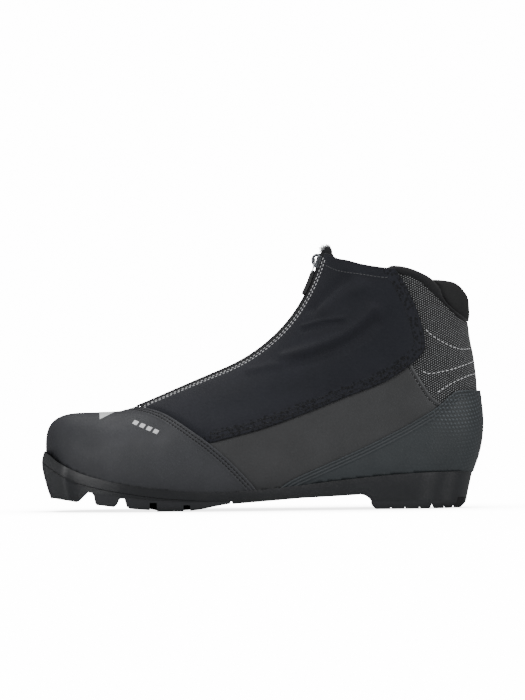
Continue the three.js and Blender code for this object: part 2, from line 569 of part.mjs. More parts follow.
// ---------------------------------------------------------------- zip
function addZip() {
  const run = frontBand(ZIP.x, ZIP.topDeg, 20, 20);
  for (const [side, sign] of [["lateral", -1], ["medial", 1]]) {
    const range = (a, b) => [sign * a, sign * b].sort((p, q) => p - q);
    add(`zip_tape_${side}`, panel(LAYER.tape, run, range(ZIP.slit, ZIP.tape)), 0x17181a, 0.9);
    add(`zip_chain_${side}`, panel(LAYER.chain, run, range(ZIP.slit, ZIP.chain)), 0x1a1b1e, 0.5);
  }
  const [stopStart, stopEnd] = STOP.x;
  const stopOutline = [[stopStart, 60], [stopEnd, 60], [stopEnd, 90], [stopStart, 90]];
  add("zip_bottom_stop", panel(LAYER.outer, stopOutline, [-STOP.half, STOP.half]), 0x202124, 0.7);
  add("zip_end_fold", across(END_FOLD.points, -END_FOLD.half, END_FOLD.half), 0x17181a, 0.9);
}

// An arc-shaped block along the zip line, between two distances from it, negative being proud.
function arcBlock(degFrom, degTo, proud, deep, yMin, yMax) {
  const steps = 6;
  const degs = [...Array(steps + 1)].map((_, k) => mix(degFrom, degTo, k / steps));
  const rim = (depth) => degs.map((deg) => rayPoint(deg, ARC.r + depth));
  return across([...rim(deep), ...reversed(rim(proud))], yMin, yMax);
}

const EYE = rayPoint(SLIDER.deg + 0.4, ARC.r - LUG.proud); // pivot of the pull link
const TAB_EYE = [EYE[0] - 2, EYE[1] - Math.sqrt(LINK.pitch ** 2 - 4)]; // pivot of the pull tab

function addSlider() {
  const { deg, halfDeg, half, wall, plate, flange } = SLIDER;
  const [start, end] = [deg - halfDeg, deg + halfDeg];
  let slider = arcBlock(start, end, plate[0], plate[1], -half, half);
  for (const sign of [-1, 1]) {
    const range = [sign * half, sign * (half - wall)].sort((a, b) => a - b);
    slider = slider.add(arcBlock(start, end, plate[0], flange, ...range));
  }
  const foot = arcBlock(deg - 0.7, deg + 1.5, -LUG.proud, plate[1] - 0.2, -LUG.half, LUG.half);
  const lug = rod(EYE[0], EYE[1], LUG.r, 2 * LUG.half).add(foot);
  slider = slider.add(lug).subtract(rod(EYE[0], EYE[1], LUG.hole, WIDE));
  add("zip_slider", slider, 0xc4c6ca, 0.25, 1);
}

// Two bars across joined by two legs, around the slider's eye and the tab's eye.
function addPullLink() {
  const tilt = Math.atan2(EYE[0] - TAB_EYE[0], EYE[1] - TAB_EYE[1]);
  const ends = [LINK.bar / 2, -LINK.pitch - LINK.bar / 2];
  const shape = new THREE.Shape([[-LINK.half, ends[0]], [LINK.half, ends[0]], [LINK.half, ends[1]],
  [-LINK.half, ends[1]]]
    .map(([y, along]) => new THREE.Vector2(y, along)));
  const hole = [[-1, -1], [1, -1], [1, 1], [-1, 1]].map(([sideY, sideAlong]) => new THREE.Vector2(
    sideY * (LINK.half - LINK.bar),
    sideAlong > 0 ? ends[0] - LINK.bar : ends[1] + LINK.bar,
  ));
  shape.holes.push(new THREE.Path(hole));
  const geometry = new THREE.ExtrudeGeometry(shape, { depth: LINK.bar, bevelEnabled: false });
  geometry.translate(0, 0, -LINK.bar / 2);
  geometry.rotateX(Math.PI / 2); // the frame's length now runs along z
  geometry.rotateZ(Math.PI / 2);
  geometry.rotateY(tilt);
  geometry.translate(EYE[0], 0, EYE[1]);
  add("pull_link", solidFrom(geometry), 0xb4b6ba, 0.3, 1);
}

function addPullTab() {
  const { deg, length, half, thick, neckHalf, eye, hole, collarLength } = TAB;
  const body = new THREE.BoxGeometry(thick, 2 * half, length - collarLength);
  body.translate(0, 0, -(length + collarLength) / 2);
  const neck = new THREE.BoxGeometry(thick, 2 * neckHalf, collarLength + 1);
  neck.translate(0, 0, -(collarLength + 1) / 2);
  const place = (geometry) => solidFrom(geometry.rotateY(rad(deg)).translate(TAB_EYE[0], 0, TAB_EYE[1]));
  const tab = place(body).add(place(neck)).add(rod(TAB_EYE[0], TAB_EYE[1], eye, 2 * neckHalf));
  add("pull_tab", tab.subtract(rod(TAB_EYE[0], TAB_EYE[1], hole, WIDE)), 0x1e1f22, 0.55);
}

addOutsole();
addTreads();
addInnerSole();
addToe();
addQuarters();
addHeel();
addLining();
addEyestays();
addCover();
addZip();
addSlider();
addPullLink();
addPullTab();

export default group;
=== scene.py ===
# A left cross-country ski boot with a zipped lace cover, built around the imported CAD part.
# Shapes are worked out in millimetres in the CAD frame and written to meshes in metres:
# the toe points to -X, the outer (lateral) side of the foot is -Y, and +Z is up.
import math

import bmesh
import bpy
import numpy as np
from mathutils import Matrix, Vector
from mathutils.geometry import delaunay_2d_cdt


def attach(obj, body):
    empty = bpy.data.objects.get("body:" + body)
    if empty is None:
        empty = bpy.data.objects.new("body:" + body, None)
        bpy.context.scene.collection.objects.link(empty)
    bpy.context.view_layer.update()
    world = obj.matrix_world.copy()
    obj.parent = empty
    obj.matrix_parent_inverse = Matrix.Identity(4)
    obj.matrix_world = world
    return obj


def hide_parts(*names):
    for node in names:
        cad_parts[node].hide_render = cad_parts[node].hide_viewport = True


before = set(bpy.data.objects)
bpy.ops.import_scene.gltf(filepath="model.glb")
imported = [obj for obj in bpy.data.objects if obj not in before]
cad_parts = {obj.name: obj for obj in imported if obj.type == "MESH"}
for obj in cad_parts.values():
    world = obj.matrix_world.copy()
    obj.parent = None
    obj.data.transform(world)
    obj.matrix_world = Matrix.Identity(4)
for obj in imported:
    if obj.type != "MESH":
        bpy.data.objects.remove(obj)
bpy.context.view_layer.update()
MM = 0.001
LATERAL, MEDIAL = -1, 1
BOTH = (LATERAL, MEDIAL)
SIDES = ((LATERAL, "lateral"), (MEDIAL, "medial"))
rng = np.random.default_rng(7)

# ---------------------------------------------------------------- the upper's surface
TIP_X = -148.1  # toe tip of the upper
TIP_Z = 40.9
TOE_BEND_LENGTH, TOE_BEND_HEIGHT, TOE_BEND_POWER = 33, 26.2, 3.3
ARC_X, ARC_Z, ARC_R = -73.1, 204.1, 118.6  # circle that the zip follows over the instep
INSTEP = math.radians(23.2)  # slope of the straight stretch of the zip below that circle
TOP_DEG = -10  # the surface ends at this ray from the circle's centre
BELOW = 5  # the surface runs on this far below the sole line
TOE_PLAN_POWER, HEEL_PLAN_POWER = 2.2, 2.1
TOE_ROUND = {LATERAL: 74, MEDIAL: 54}
TUCK_SHARE, TUCK_HEIGHT = 0.055, 7  # the upper narrows where it meets the sole
SWING_START, SWING_BY = -95, 4  # the toe tip lies this far towards the inner side

TOE_TOP = [(-115, 67.1), (-100, 67.6), (-88, 69.9), (-80, 72.4), (-73.1, 75.1)]
FEATHER = [  # where the upper meets the sole
    (-148.1, 40.9), (-145, 39.2), (-138.3, 33.7), (-124.7, 26.7), (-111, 22.4), (-97.4, 19.2),
    (-80.3, 16.4), (-56.4, 14), (-29.1, 12.8), (-5.2, 14), (18.7, 16.2), (46.1, 19.4),
    (73.5, 22.2), (100.8, 24.3), (128.2, 25.1), (152, 24.7),
]
BACK = [  # heel and ankle line: height, then x
    (15, 141.6), (24.9, 143.2), (34.8, 146.7), (45.7, 149.2), (58, 150.2), (70, 149.4), (79, 148),
    (88.1, 147.4), (103.8, 145.5), (113.4, 143.6), (126, 142), (140, 140.8), (152, 138.6), (175, 136),
]
HEEL_ROUND = [(20, 37), (60, 40), (110, 46), (175, 48)]
PLAN = {  # half width at foot height, by x
    LATERAL: [(-148, 41), (-110, 44.5), (-62, 48.5), (-20, 45.5), (25, 40), (62, 37.4), (105, 35.6),
              (150, 34.6)],
    MEDIAL: [(-148, 41), (-112, 46), (-80, 48.5), (-35, 43.5), (20, 36.6), (60, 35.4), (105, 35.2),
             (150, 34.6)],
}
SHAFT = [(20, 35.5), (60, 36), (90, 36.6), (120, 37.4), (150, 38.8), (185, 40)]
SHAFT_FROM, SHAFT_TO = 45, 120  # the plan width gives way to the shaft width between these heights
RIDGE_LENGTH = [(-90, 60), (-60, 56), (-35, 52), (-10, 52)]
RIDGE_POWER = [(-90, 2.45), (-62, 2.2), (-40, 2.0), (-10, 1.86)]
LIFT_START = (-100, -70)
COVER_LIFT_START = (-100, -88)
COVER_LIFT, VAMP_LIFT, INNER_LIFT = 1.3, 6, 7  # how far below the surface these layers lie at the instep
QUARTER_DEPTH, CUFF_DEPTH, VAMP_DEPTH = 1.5, 1.9, 2.2  # depths of the layers' outer faces
LINING_DEPTH, TONGUE_DEPTH, TAPE_DEPTH, PIPING_DEPTH = 2.6, 3.1, 1.45, 1.55
LIFT_REACH = (14, 48)


def through(points, t):
    """A smooth curve through points given by rising first coordinate."""
    x, y = np.array(points, float).T
    last = len(x) - 1
    before = np.maximum(np.arange(last + 1) - 1, 0)
    after = np.minimum(np.arange(last + 1) + 1, last)
    slope = (y[after] - y[before]) / (x[after] - x[before])
    t = np.clip(t, x[0], x[-1])
    i = np.clip(np.searchsorted(x, t, side="right") - 1, 0, last - 1)
    h = x[i + 1] - x[i]
    u = (t - x[i]) / h
    value = (2 * u**3 - 3 * u**2 + 1) * y[i] + (3 * u**2 - 2 * u**3) * y[i + 1]
    return value + (u**3 - 2 * u**2 + u) * h * slope[i] + (u**3 - u**2) * h * slope[i + 1]


def closing(u, power):
    """Rises from 0 at u = 0 to 1 at u = 1 as a superellipse does."""
    u = np.clip(u, 0, 1)
    return (1 - (1 - u) ** power) ** (1 / power)


def ramp(a, b, t):
    u = np.clip((np.asarray(t, float) - a) / (b - a), 0, 1)
    return u * u * (3 - 2 * u)


def mix(a, b, t):
    return a + (b - a) * t


def feather(x):
    return through(FEATHER, x)


def back_x(z):
    return through(BACK, z)


def swing(x):
    return SWING_BY * np.maximum(0, (SWING_START - x) / (SWING_START - TIP_X)) ** 1.5


LINE_START_X = ARC_X + ARC_R * math.sin(INSTEP)
LINE_START_Z = ARC_Z - ARC_R * math.cos(INSTEP)


def top_z(x):
    """Height of the toe and instep line above the ground."""
    x = np.asarray(x, float)
    bend = TIP_Z + TOE_BEND_HEIGHT * closing((x - TIP_X) / TOE_BEND_LENGTH, TOE_BEND_POWER)
    line = LINE_START_Z + (x - LINE_START_X) * math.tan(INSTEP)
    return np.where(x < TOE_TOP[0][0], bend, np.where(x < ARC_X, through(TOE_TOP, x), line))


def front_radius(deg):
    """How far the front line lies from the circle's centre along a ray."""
    a = np.radians(deg)
    slope = math.tan(INSTEP)
    fall = LINE_START_Z - ARC_Z - slope * (LINE_START_X - ARC_X)
    straight = fall / (np.sin(a) - slope * np.cos(a))
    return np.where(deg > math.degrees(INSTEP) - 90, ARC_R, straight)


SECTION_GAP = 0.03  # the first upright section stands this far behind the toe tip
RAY_REACH, RAY_SAMPLES, HALVINGS = (60, 320), 2081, 12  # the search for each ray's end


def half_width(side, x, z, front, reach, power):
    lateral = np.asarray(side) < 0
    plan = np.where(lateral, through(PLAN[LATERAL], x), through(PLAN[MEDIAL], x))
    plan = mix(plan, through(SHAFT, z), ramp(SHAFT_FROM, SHAFT_TO, z))
    tuck = 1 - TUCK_SHARE * np.exp(-np.maximum(z - feather(x), 0) / TUCK_HEIGHT)
    toe = closing((x - TIP_X) / np.where(lateral, TOE_ROUND[LATERAL], TOE_ROUND[MEDIAL]), TOE_PLAN_POWER)
    heel = closing((back_x(z) - x) / through(HEEL_ROUND, z), HEEL_PLAN_POWER)
    return plan * tuck * toe * heel * closing(front / reach, power)


TOE_STATIONS, RAY_STATIONS = 130, 330
AROUND = 220  # steps down each section in the tables


def in_outline(x, z):
    return (x < back_x(z)) & (z > feather(x) - BELOW)


def station_table():
    """Section lines of the surface: upright ones across the toe, then rays from the circle's centre."""
    x = TIP_X + SECTION_GAP + (ARC_X - TIP_X - SECTION_GAP) * np.linspace(0, 1, TOE_STATIONS) ** 2
    toe = np.stack([x, top_z(x), x, feather(x) - BELOW, top_z(x) - feather(x) + 0.01,
                    np.full_like(x, RIDGE_POWER[0][1])], 1)
    deg = np.linspace(-90, TOP_DEG, RAY_STATIONS)[1:]
    a = np.radians(deg)
    r = np.linspace(*RAY_REACH, RAY_SAMPLES)
    inside = in_outline(ARC_X + r * np.cos(a)[:, None], ARC_Z + r * np.sin(a)[:, None])
    first_out = np.array([np.nonzero(~row & (r > ARC_R))[0][0] for row in inside])
    lo, hi = r[first_out - 1], r[first_out]
    for _ in range(HALVINGS):
        middle = (lo + hi) / 2
        within = in_outline(ARC_X + middle * np.cos(a), ARC_Z + middle * np.sin(a))
        lo, hi = np.where(within, middle, lo), np.where(within, hi, middle)
    start, end = front_radius(deg), (lo + hi) / 2
    rays = np.stack([ARC_X + start * np.cos(a), ARC_Z + start * np.sin(a), ARC_X + end * np.cos(a),
                     ARC_Z + end * np.sin(a), through(RIDGE_LENGTH, deg), through(RIDGE_POWER, deg)], 1)
    return np.concatenate([toe, rays])


STATIONS = station_table()
LAST = len(STATIONS) - 1
RAYS_FROM = TOE_STATIONS - 1  # index of the ray that points straight down


def split_station(s):
    """The whole and the part of a section number."""
    s = np.clip(s, 0, LAST)
    i = np.minimum(s.astype(int), LAST - 1)
    return i, s - i


def at_station(table, s):
    i, f = split_station(s)
    if table.ndim == 2:
        f = f[:, None]
    return table[i] * (1 - f) + table[i + 1] * f


def section_length(line):
    return np.hypot(line[:, 2] - line[:, 0], line[:, 3] - line[:, 1])


def cosine_share(t):
    """From 0 to 1, slow at both ends."""
    return (1 - np.cos(np.pi * t)) / 2


def point_at(s, t, side):
    """The surface point on section s, a share t of the way down on one side."""
    line = at_station(STATIONS, s)
    share = cosine_share(np.clip(t, 0, 1))
    x = mix(line[:, 0], line[:, 2], share)
    z = mix(line[:, 1], line[:, 3], share)
    w = half_width(side, x, z, share * section_length(line), line[:, 4], line[:, 5])
    return np.stack([x, swing(x) + side * w, z], 1)


def down_tables():
    """Length down each section by share t, and share t by length."""
    t = np.linspace(0, 1, AROUND + 1)
    s = np.repeat(np.arange(LAST + 1, dtype=float), AROUND + 1)
    points = point_at(s, np.tile(t, LAST + 1), np.full(len(s), LATERAL)).reshape(LAST + 1, AROUND + 1, 3)
    steps = np.linalg.norm(np.diff(points, axis=1), axis=2)
    down = np.concatenate([np.zeros((LAST + 1, 1)), np.cumsum(steps, axis=1)], axis=1)
    total = down[:, -1]
    even = np.linspace(0, 1, 2 * AROUND + 1)
    share = np.stack([np.interp(even, down[i] / total[i], t) for i in range(LAST + 1)])
    return down, total, share


DOWN, TOTAL, SHARE = down_tables()
FRONT_STEPS = np.hypot(np.diff(STATIONS[:, 0]), np.diff(STATIONS[:, 1]))
ALONG = np.concatenate([[0], np.cumsum(FRONT_STEPS)])
RAY_ALONG = ALONG[RAYS_FROM]


def grid_lookup(table, s, u):
    i, f = split_station(s)
    v = np.clip(u, 0, 1) * (table.shape[1] - 1)
    j = np.minimum(v.astype(int), table.shape[1] - 2)
    g = v - j
    low = table[i, j] * (1 - g) + table[i, j + 1] * g
    high = table[i + 1, j] * (1 - g) + table[i + 1, j + 1] * g
    return low * (1 - f) + high * f


def total_at(s):
    return at_station(TOTAL, s)


def surface(s, v, side):
    """The surface point on section s, v millimetres down from the front line on one side."""
    side = np.broadcast_to(side, s.shape).astype(float)
    side = np.where(v < 0, -side, side)
    v = np.abs(v)
    total = total_at(s)
    over = v > total
    side = np.where(over & (s > RAYS_FROM), -side, side)
    v = np.where(over, 2 * total - v, v)
    t = grid_lookup(SHARE, s, v / total)
    return point_at(s, t, side)


NORMAL_STEP = (0.6, 0.35)  # in sections, and in millimetres down one


def surface_normal(s, v, side):
    """The outward direction; on the back line it's square to that line."""
    ds, dv = NORMAL_STEP
    along = surface(np.clip(s + ds, 0, LAST), v, side) - surface(np.clip(s - ds, 0, LAST), v, side)
    down = surface(s, v + dv, side) - surface(s, v - dv, side)
    n = np.cross(along, down) * np.broadcast_to(side, s.shape)[:, None]
    line = at_station(STATIONS, s)
    at_back_line = (v > total_at(s) - 0.3) & (line[:, 3] > feather(line[:, 2]) + 0.5)
    lean = back_x(line[:, 3] + 0.5) - back_x(line[:, 3] - 0.5)
    straight = np.stack([np.ones_like(lean), np.zeros_like(lean), -lean], 1)
    n = np.where(at_back_line[:, None], straight, n)
    return n / np.maximum(np.linalg.norm(n, axis=1), 1e-9)[:, None]


# The surface laid flat, for cutting panels: straight below the instep ray it's the length down the section
# against the length along the toe line, and behind it rays about the circle's centre.
def flat_height(front):
    """Height of the toe line in the flat, level in front of the first point of TOE_TOP."""
    return np.where(front[:, 0] < TOE_TOP[0][0], TOE_TOP[0][1], front[:, 1])


def station_of_deg(deg):
    return RAYS_FROM + (deg + 90) / (TOP_DEG + 90) * (LAST - RAYS_FROM)


def station_through(x, z, s_toe):
    """The section through a point: s_toe in front of the circle's centre, and a ray behind it."""
    s_ray = station_of_deg(np.degrees(np.arctan2(z - ARC_Z, x - ARC_X)))
    return np.where(x < ARC_X, s_toe, np.clip(s_ray, RAYS_FROM, LAST))


def to_flat(s, v):
    s = np.asarray(s, float)
    v = np.asarray(v, float)
    front = at_station(STATIONS, s)
    toe_x = ARC_X - (RAY_ALONG - at_station(ALONG, s))
    a = np.arctan2(front[:, 1] - ARC_Z, front[:, 0] - ARC_X)
    r = np.hypot(front[:, 0] - ARC_X, front[:, 1] - ARC_Z) + v
    toe = s <= RAYS_FROM
    return np.stack([np.where(toe, toe_x, ARC_X + r * np.cos(a)),
                     np.where(toe, flat_height(front) - v, ARC_Z + r * np.sin(a))], 1)


SNAP_FRONT, SNAP_BACK = 0.1, 0.15  # points this near the front line or the back line are put on it


def from_flat(points):
    x, z = points[:, 0], points[:, 1]
    s_toe = np.interp(RAY_ALONG - (ARC_X - x), ALONG[: RAYS_FROM + 1], np.arange(RAYS_FROM + 1.0))
    s = station_through(x, z, s_toe)
    front = at_station(STATIONS, s)
    start = np.hypot(front[:, 0] - ARC_X, front[:, 1] - ARC_Z)
    v = np.where(x < ARC_X, flat_height(front) - z, np.hypot(x - ARC_X, z - ARC_Z) - start)
    total = total_at(s)
    v = np.where(np.abs(v) < SNAP_FRONT, 0, v)
    v = np.where(np.abs(total - v) < SNAP_BACK, total, v)
    return s, np.minimum(v, total)


def from_side_view(x, z):
    """Section and length down it of a point given in side view."""
    x = np.asarray(x, float)
    z = np.asarray(z, float)
    s = station_through(x, z, np.interp(x, STATIONS[: RAYS_FROM + 1, 0], np.arange(RAYS_FROM + 1.0)))
    line = at_station(STATIONS, s)
    front = np.hypot(x - line[:, 0], z - line[:, 1]) * np.where(z > line[:, 1] + 1e-6, 0, 1)
    share = np.clip(front / section_length(line), 0, 1)
    return s, grid_lookup(DOWN, s, np.arccos(1 - 2 * share) / np.pi)


# ---------------------------------------------------------------- outlines in the flat
def run_along(points):
    """Length along a line up to each of its points."""
    return np.concatenate([[0], np.cumsum(np.linalg.norm(np.diff(points, axis=0), axis=1))])


def at_lengths(points, run, lengths):
    return np.stack([np.interp(lengths, run, points[:, 0]), np.interp(lengths, run, points[:, 1])], 1)


def resample(points, step):
    """A line's points at even steps of about this length."""
    points = np.asarray(points, float)
    run = run_along(points)
    return at_lengths(points, run, np.linspace(0, run[-1], max(2, int(round(run[-1] / step)) + 1)))


def even_points(line, pitch):
    """Points along a line at exactly this pitch."""
    run = run_along(line)
    return at_lengths(line, run, np.arange(0, run[-1] // pitch + 1) * pitch)


def smooth(points, step=0.5):
    """A smooth line through a few points."""
    points = np.asarray(points, float)
    run = run_along(points)
    even = np.linspace(0, run[-1], max(2, int(run[-1] / step)))
    return np.stack([through(np.stack([run, points[:, k]], 1), even) for k in (0, 1)], 1)


def side_line(points):
    """A line drawn in side view, laid flat."""
    drawn = smooth(points)
    return to_flat(*from_side_view(drawn[:, 0], drawn[:, 1]))


def front_line(s0, s1, v=0.0):
    """A line v millimetres beside the front line, between two sections."""
    s = np.linspace(s0, s1, 240)
    return to_flat(s, np.full_like(s, v))


def sole_line(s0, s1, drop=2.0):
    """The lower border, hidden just inside the sole."""
    x_of = np.linspace(s0, s1, 400)
    line = at_station(STATIONS, x_of)
    on_sole = line[:, 3] < feather(line[:, 2])
    total = total_at(x_of)
    return to_flat(x_of, np.where(on_sole, total - (BELOW - drop), total))


def back_line(s0, s1):
    s = np.linspace(s0, s1, 200)
    return to_flat(s, total_at(s))


def station_of_x(x):
    """The section whose front point has this x."""
    return float(np.interp(x, STATIONS[:, 0], np.arange(LAST + 1.0)))


def station_at_back(z):
    return station_of_deg(math.degrees(math.atan2(z - ARC_Z, float(back_x(z)) - ARC_X)))


def at_back(line, end, z):
    """Sets one end of a line in the flat exactly on the back line."""
    s = np.array([station_at_back(z)])
    line[end] = to_flat(s, total_at(s))[0]
    return line


def station_below(x, z):
    """The section that passes through a point of the side view."""
    return float(from_side_view([x], [z])[0][0])


def inside_polygon(points, polygon):
    x, z = points[:, 0], points[:, 1]
    result = np.zeros(len(points), bool)
    for (x0, z0), (x1, z1) in zip(polygon, np.roll(polygon, -1, axis=0)):
        crosses = (z0 > z) != (z1 > z)
        if crosses.any():
            at = x0 + (z[crosses] - z0) / (z1 - z0) * (x1 - x0)
            result[crosses] ^= x[crosses] < at
    return result


def distance_to(points, lines):
    """Distance from each point to the nearest of some lines in the flat."""
    best = np.full(len(points), 1e3)
    for line in lines:
        a, b = line[:-1], line[1:]
        d = b - a
        size = np.maximum((d**2).sum(1), 1e-12)
        for k in range(0, len(points), 4000):
            p = points[k : k + 4000, None]
            u = np.clip(((p - a) * d).sum(2) / size, 0, 1)
            gap = np.linalg.norm(p - (a + u[..., None] * d), axis=2).min(1)
            best[k : k + 4000] = np.minimum(best[k : k + 4000], gap)
    return best


def offset_line(line, by, inward):
    """A line moved sideways; `inward` is +1 or -1 for the side that it moves to."""
    t = np.gradient(line, axis=0)
    t /= np.maximum(np.linalg.norm(t, axis=1), 1e-9)[:, None]
    return line + inward * by * np.stack([-t[:, 1], t[:, 0]], 1)


ROWS = (0.15, 0.35, 0.65, 1.0, 1.5, 2.2, 3.0)


def turn_of(polygon):
    """+1 where a polygon's inside is on the left of its line, else -1."""
    x, z = polygon.T
    return 1 if np.sum(x * np.roll(z, -1) - np.roll(x, -1) * z) > 0 else -1


def cut_flat(outline, rows=ROWS, pitch=2.2, edge_step=1.1):
    """Triangles in the flat that fill an outline of (kind, line) parts, with rows along its real edges."""
    parts = [(kind, resample(line, edge_step if kind == "edge" else 1.6)) for kind, line in outline]
    polygon = np.concatenate([line[:-1] for _, line in parts])
    loop = np.vstack([polygon, polygon[:1]])
    edges = [line for kind, line in parts if kind == "edge"]
    sets = []
    for row in rows:
        for line in edges:
            moved = offset_line(line, row, turn_of(polygon))
            keep = inside_polygon(moved, polygon) & (distance_to(moved, edges) > row * 0.93)
            keep &= distance_to(moved, [loop]) > min(row, 0.5) * 0.9
            sets.append(moved[keep])
    lo, hi = polygon.min(0), polygon.max(0)
    gx = np.arange(lo[0], hi[0], pitch)
    gz = np.arange(lo[1], hi[1], pitch * 0.866)
    grid = np.stack([(gx[:, None] + (np.arange(len(gz)) % 2) * pitch / 2).ravel(),
                     np.broadcast_to(gz, (len(gx), len(gz))).ravel()], 1)
    grid = grid[inside_polygon(grid, polygon)]
    grid = grid[distance_to(grid, [loop]) > 0.6 * pitch]
    if edges:
        grid = grid[distance_to(grid, edges) > rows[-1] + 0.4 * pitch]
    points = np.concatenate([polygon, *sets, grid])
    ring = [(k, (k + 1) % len(polygon)) for k in range(len(polygon))]
    done = delaunay_2d_cdt([Vector(p) for p in points], ring, [], 1, 1e-5)
    return np.array([(p.x, p.y) for p in done[0]]), np.array([list(f) for f in done[2]], int), edges


def lift_depth(s, v, lift, start):
    line = at_station(STATIONS, s)
    front = cosine_share(grid_lookup(SHARE, s, v / total_at(s))) * section_length(line)
    return lift * ramp(*start, line[:, 0]) * (1 - ramp(*LIFT_REACH, front))


def placed(flat, side, depth, lift=0.0, start=COVER_LIFT_START, height=0.0):
    """Points and outward directions on one side for points of the flat, `depth` under the surface."""
    s, v = from_flat(flat)
    p = surface(s, v, side)
    n = surface_normal(s, v, side)
    down = depth + lift_depth(s, v, lift, start) - height
    return p - n * np.asarray(down).reshape(-1, 1), n


# ---------------------------------------------------------------- making objects
def new_object(name, data):
    o = bpy.data.objects.new(name, data)
    bpy.context.scene.collection.objects.link(o)
    return o


def piece(name, mesh, finish, stands_for=(), body="boot", slot=None):
    """An object on a body, with a finish's material, that stands for some CAD nodes and hides them."""
    mesh.materials.append(MAT[finish])
    o = new_object(name, mesh)
    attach(o, body)
    slot or SLOTS[finish]
    if stands_for:
        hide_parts(*stands_for)
    return o


def point_table(mesh):
    co = np.zeros(len(mesh.vertices) * 3, np.float32)
    mesh.vertices.foreach_get("co", co)
    return co.reshape(-1, 3)


def add_attribute(mesh, key, values):
    mesh.attributes.new(key, "FLOAT", "POINT").data.foreach_set("value", np.asarray(values, np.float32))


def add_flat_map(mesh, uv):
    layer = mesh.uv_layers.new(name="flat")
    corner = np.zeros(len(mesh.loops), np.int32)
    mesh.loops.foreach_get("vertex_index", corner)
    layer.data.foreach_set("uv", np.asarray(uv, np.float32)[corner].ravel())


def bare_mesh(name, points, faces):
    """A mesh from points in millimetres."""
    m = bpy.data.meshes.new(name)
    m.from_pydata([tuple(p) for p in np.asarray(points) * MM], [], [tuple(int(i) for i in f) for f in faces])
    return m


def rework(mesh, weld=0.0, triangles=False, outward=False):
    """Joins points nearer than `weld` metres, cuts faces into triangles and turns them outward."""
    b = bmesh.new()
    b.from_mesh(mesh)
    if weld:
        bmesh.ops.remove_doubles(b, verts=b.verts, dist=weld)
    if triangles:
        bmesh.ops.triangulate(b, faces=b.faces)
    if outward:
        bmesh.ops.recalc_face_normals(b, faces=b.faces)
    b.to_mesh(mesh)
    b.free()


def thicken(o, thick):
    solid = o.modifiers.new("thickness", "SOLIDIFY")
    solid.thickness = thick * MM
    solid.offset = -1


WELD = 1.2e-5


def mesh_of(name, points, faces, uv, attributes, weld=True):
    """A smooth mesh from points in millimetres, with flat coordinates as its UV map."""
    m = bare_mesh(name, points, faces)
    for key, values in attributes.items():
        add_attribute(m, key, values)
    add_flat_map(m, uv)
    if weld:
        rework(m, WELD)
    m.shade_smooth()
    return m


def panel(name, outline, depth, finish, stands_for=(), sides=BOTH, lift=0.0, start=COVER_LIFT_START,
          relief=None, thick=1.2, rows=ROWS, pitch=2.2, extra=None):
    """A sheet that follows the boot's surface inside an outline, on one or both sides."""
    flat, triangles, edges = cut_flat(outline, rows, pitch)
    edge = distance_to(flat, edges)
    points, faces = [], []
    for k, side in enumerate(sides):
        height = relief(flat, edge, side) if relief else np.zeros(len(flat))
        points.append(placed(flat, side, depth, lift, start, height)[0])
        faces.append((triangles if side == LATERAL else triangles[:, ::-1]) + k * len(flat))
    attributes = {"edge": edge, **(extra(flat) if extra else {})}
    attributes = {key: np.tile(values, len(sides)) for key, values in attributes.items()}
    uv = np.tile(flat, (len(sides), 1))
    m = mesh_of(name, np.concatenate(points), np.concatenate(faces), uv, attributes)
    o = piece(name, m, finish, stands_for)
    thicken(o, thick)
    return o


RIM = 2.0  # added to a cushion's edge distance, because its rim isn't a rubbed edge


CUSHION_ROWS = (0.1, 0.25, 0.5, 0.8, 1.2, 1.7, 2.3, 3.0)


def cushion(name, outline, middle, half, r, finish, stands_for):
    """A closed soft form inside an outline: full in the middle and closing to a line at its edges."""
    flat, triangles, edges = cut_flat(outline, CUSHION_ROWS, 1.6, 0.9)
    edge = distance_to(flat, edges)
    full = np.sqrt(np.clip(1 - (1 - np.clip(edge / r, 0, 1)) ** 2, 0, 1))
    points, faces = [], []
    for side in BOTH:
        for sign in (1, -1):
            faces.append((triangles if side * sign < 0 else triangles[:, ::-1]) + len(points) * len(flat))
            points.append(placed(flat, side, middle, height=sign * half * full)[0])
    m = mesh_of(name, np.concatenate(points), np.concatenate(faces), np.tile(flat, (len(points), 1)),
                {"edge": np.tile(edge + RIM, len(points))})
    return piece(name, m, finish, stands_for)


def inflate(o, pressure, most, frames=20):
    """Swells a closed soft form with the cloth simulation, its seams held, by at most so many millimetres."""
    mesh = o.data
    edge = np.zeros(len(mesh.vertices), np.float32)
    mesh.attributes["edge"].data.foreach_get("value", edge)
    held = o.vertex_groups.new(name="held")
    held.add([int(k) for k in np.nonzero(edge < RIM + 0.3)[0]], 1.0, "REPLACE")
    cloth = o.modifiers.new("cloth", "CLOTH")
    cloth.settings.use_pressure = True
    cloth.settings.uniform_pressure_force = pressure
    cloth.settings.effector_weights.gravity = 0
    cloth.settings.vertex_group_mass = "held"
    cloth.settings.quality = 6
    cloth.point_cache.frame_start, cloth.point_cache.frame_end = 1, frames
    rest = point_table(mesh)
    scene = bpy.context.scene
    for number in range(1, frames + 1):
        scene.frame_set(number)
    done = o.evaluated_get(bpy.context.evaluated_depsgraph_get())
    move = point_table(done.data) - rest
    size = np.linalg.norm(move, axis=1)[:, None]
    move *= np.minimum(1, most * MM / np.maximum(size, 1e-9))
    o.modifiers.remove(cloth)
    o.vertex_groups.remove(held)
    mesh.vertices.foreach_set("co", (rest + move).ravel())
    mesh.update()
    scene.frame_set(1)


def rounded(edge, r, drop=None):
    """How far a rounded edge falls, by distance from the edge."""
    u = np.clip(1 - edge / r, 0, 1)
    return -(drop or r) * (1 - np.sqrt(1 - u * u))


def rounded_relief(r, drop=None):
    return lambda flat, edge, side: rounded(edge, r, drop)


def groove(edge, centre, half, depth):
    return -depth * np.exp(-(((edge - centre) / half) ** 2))


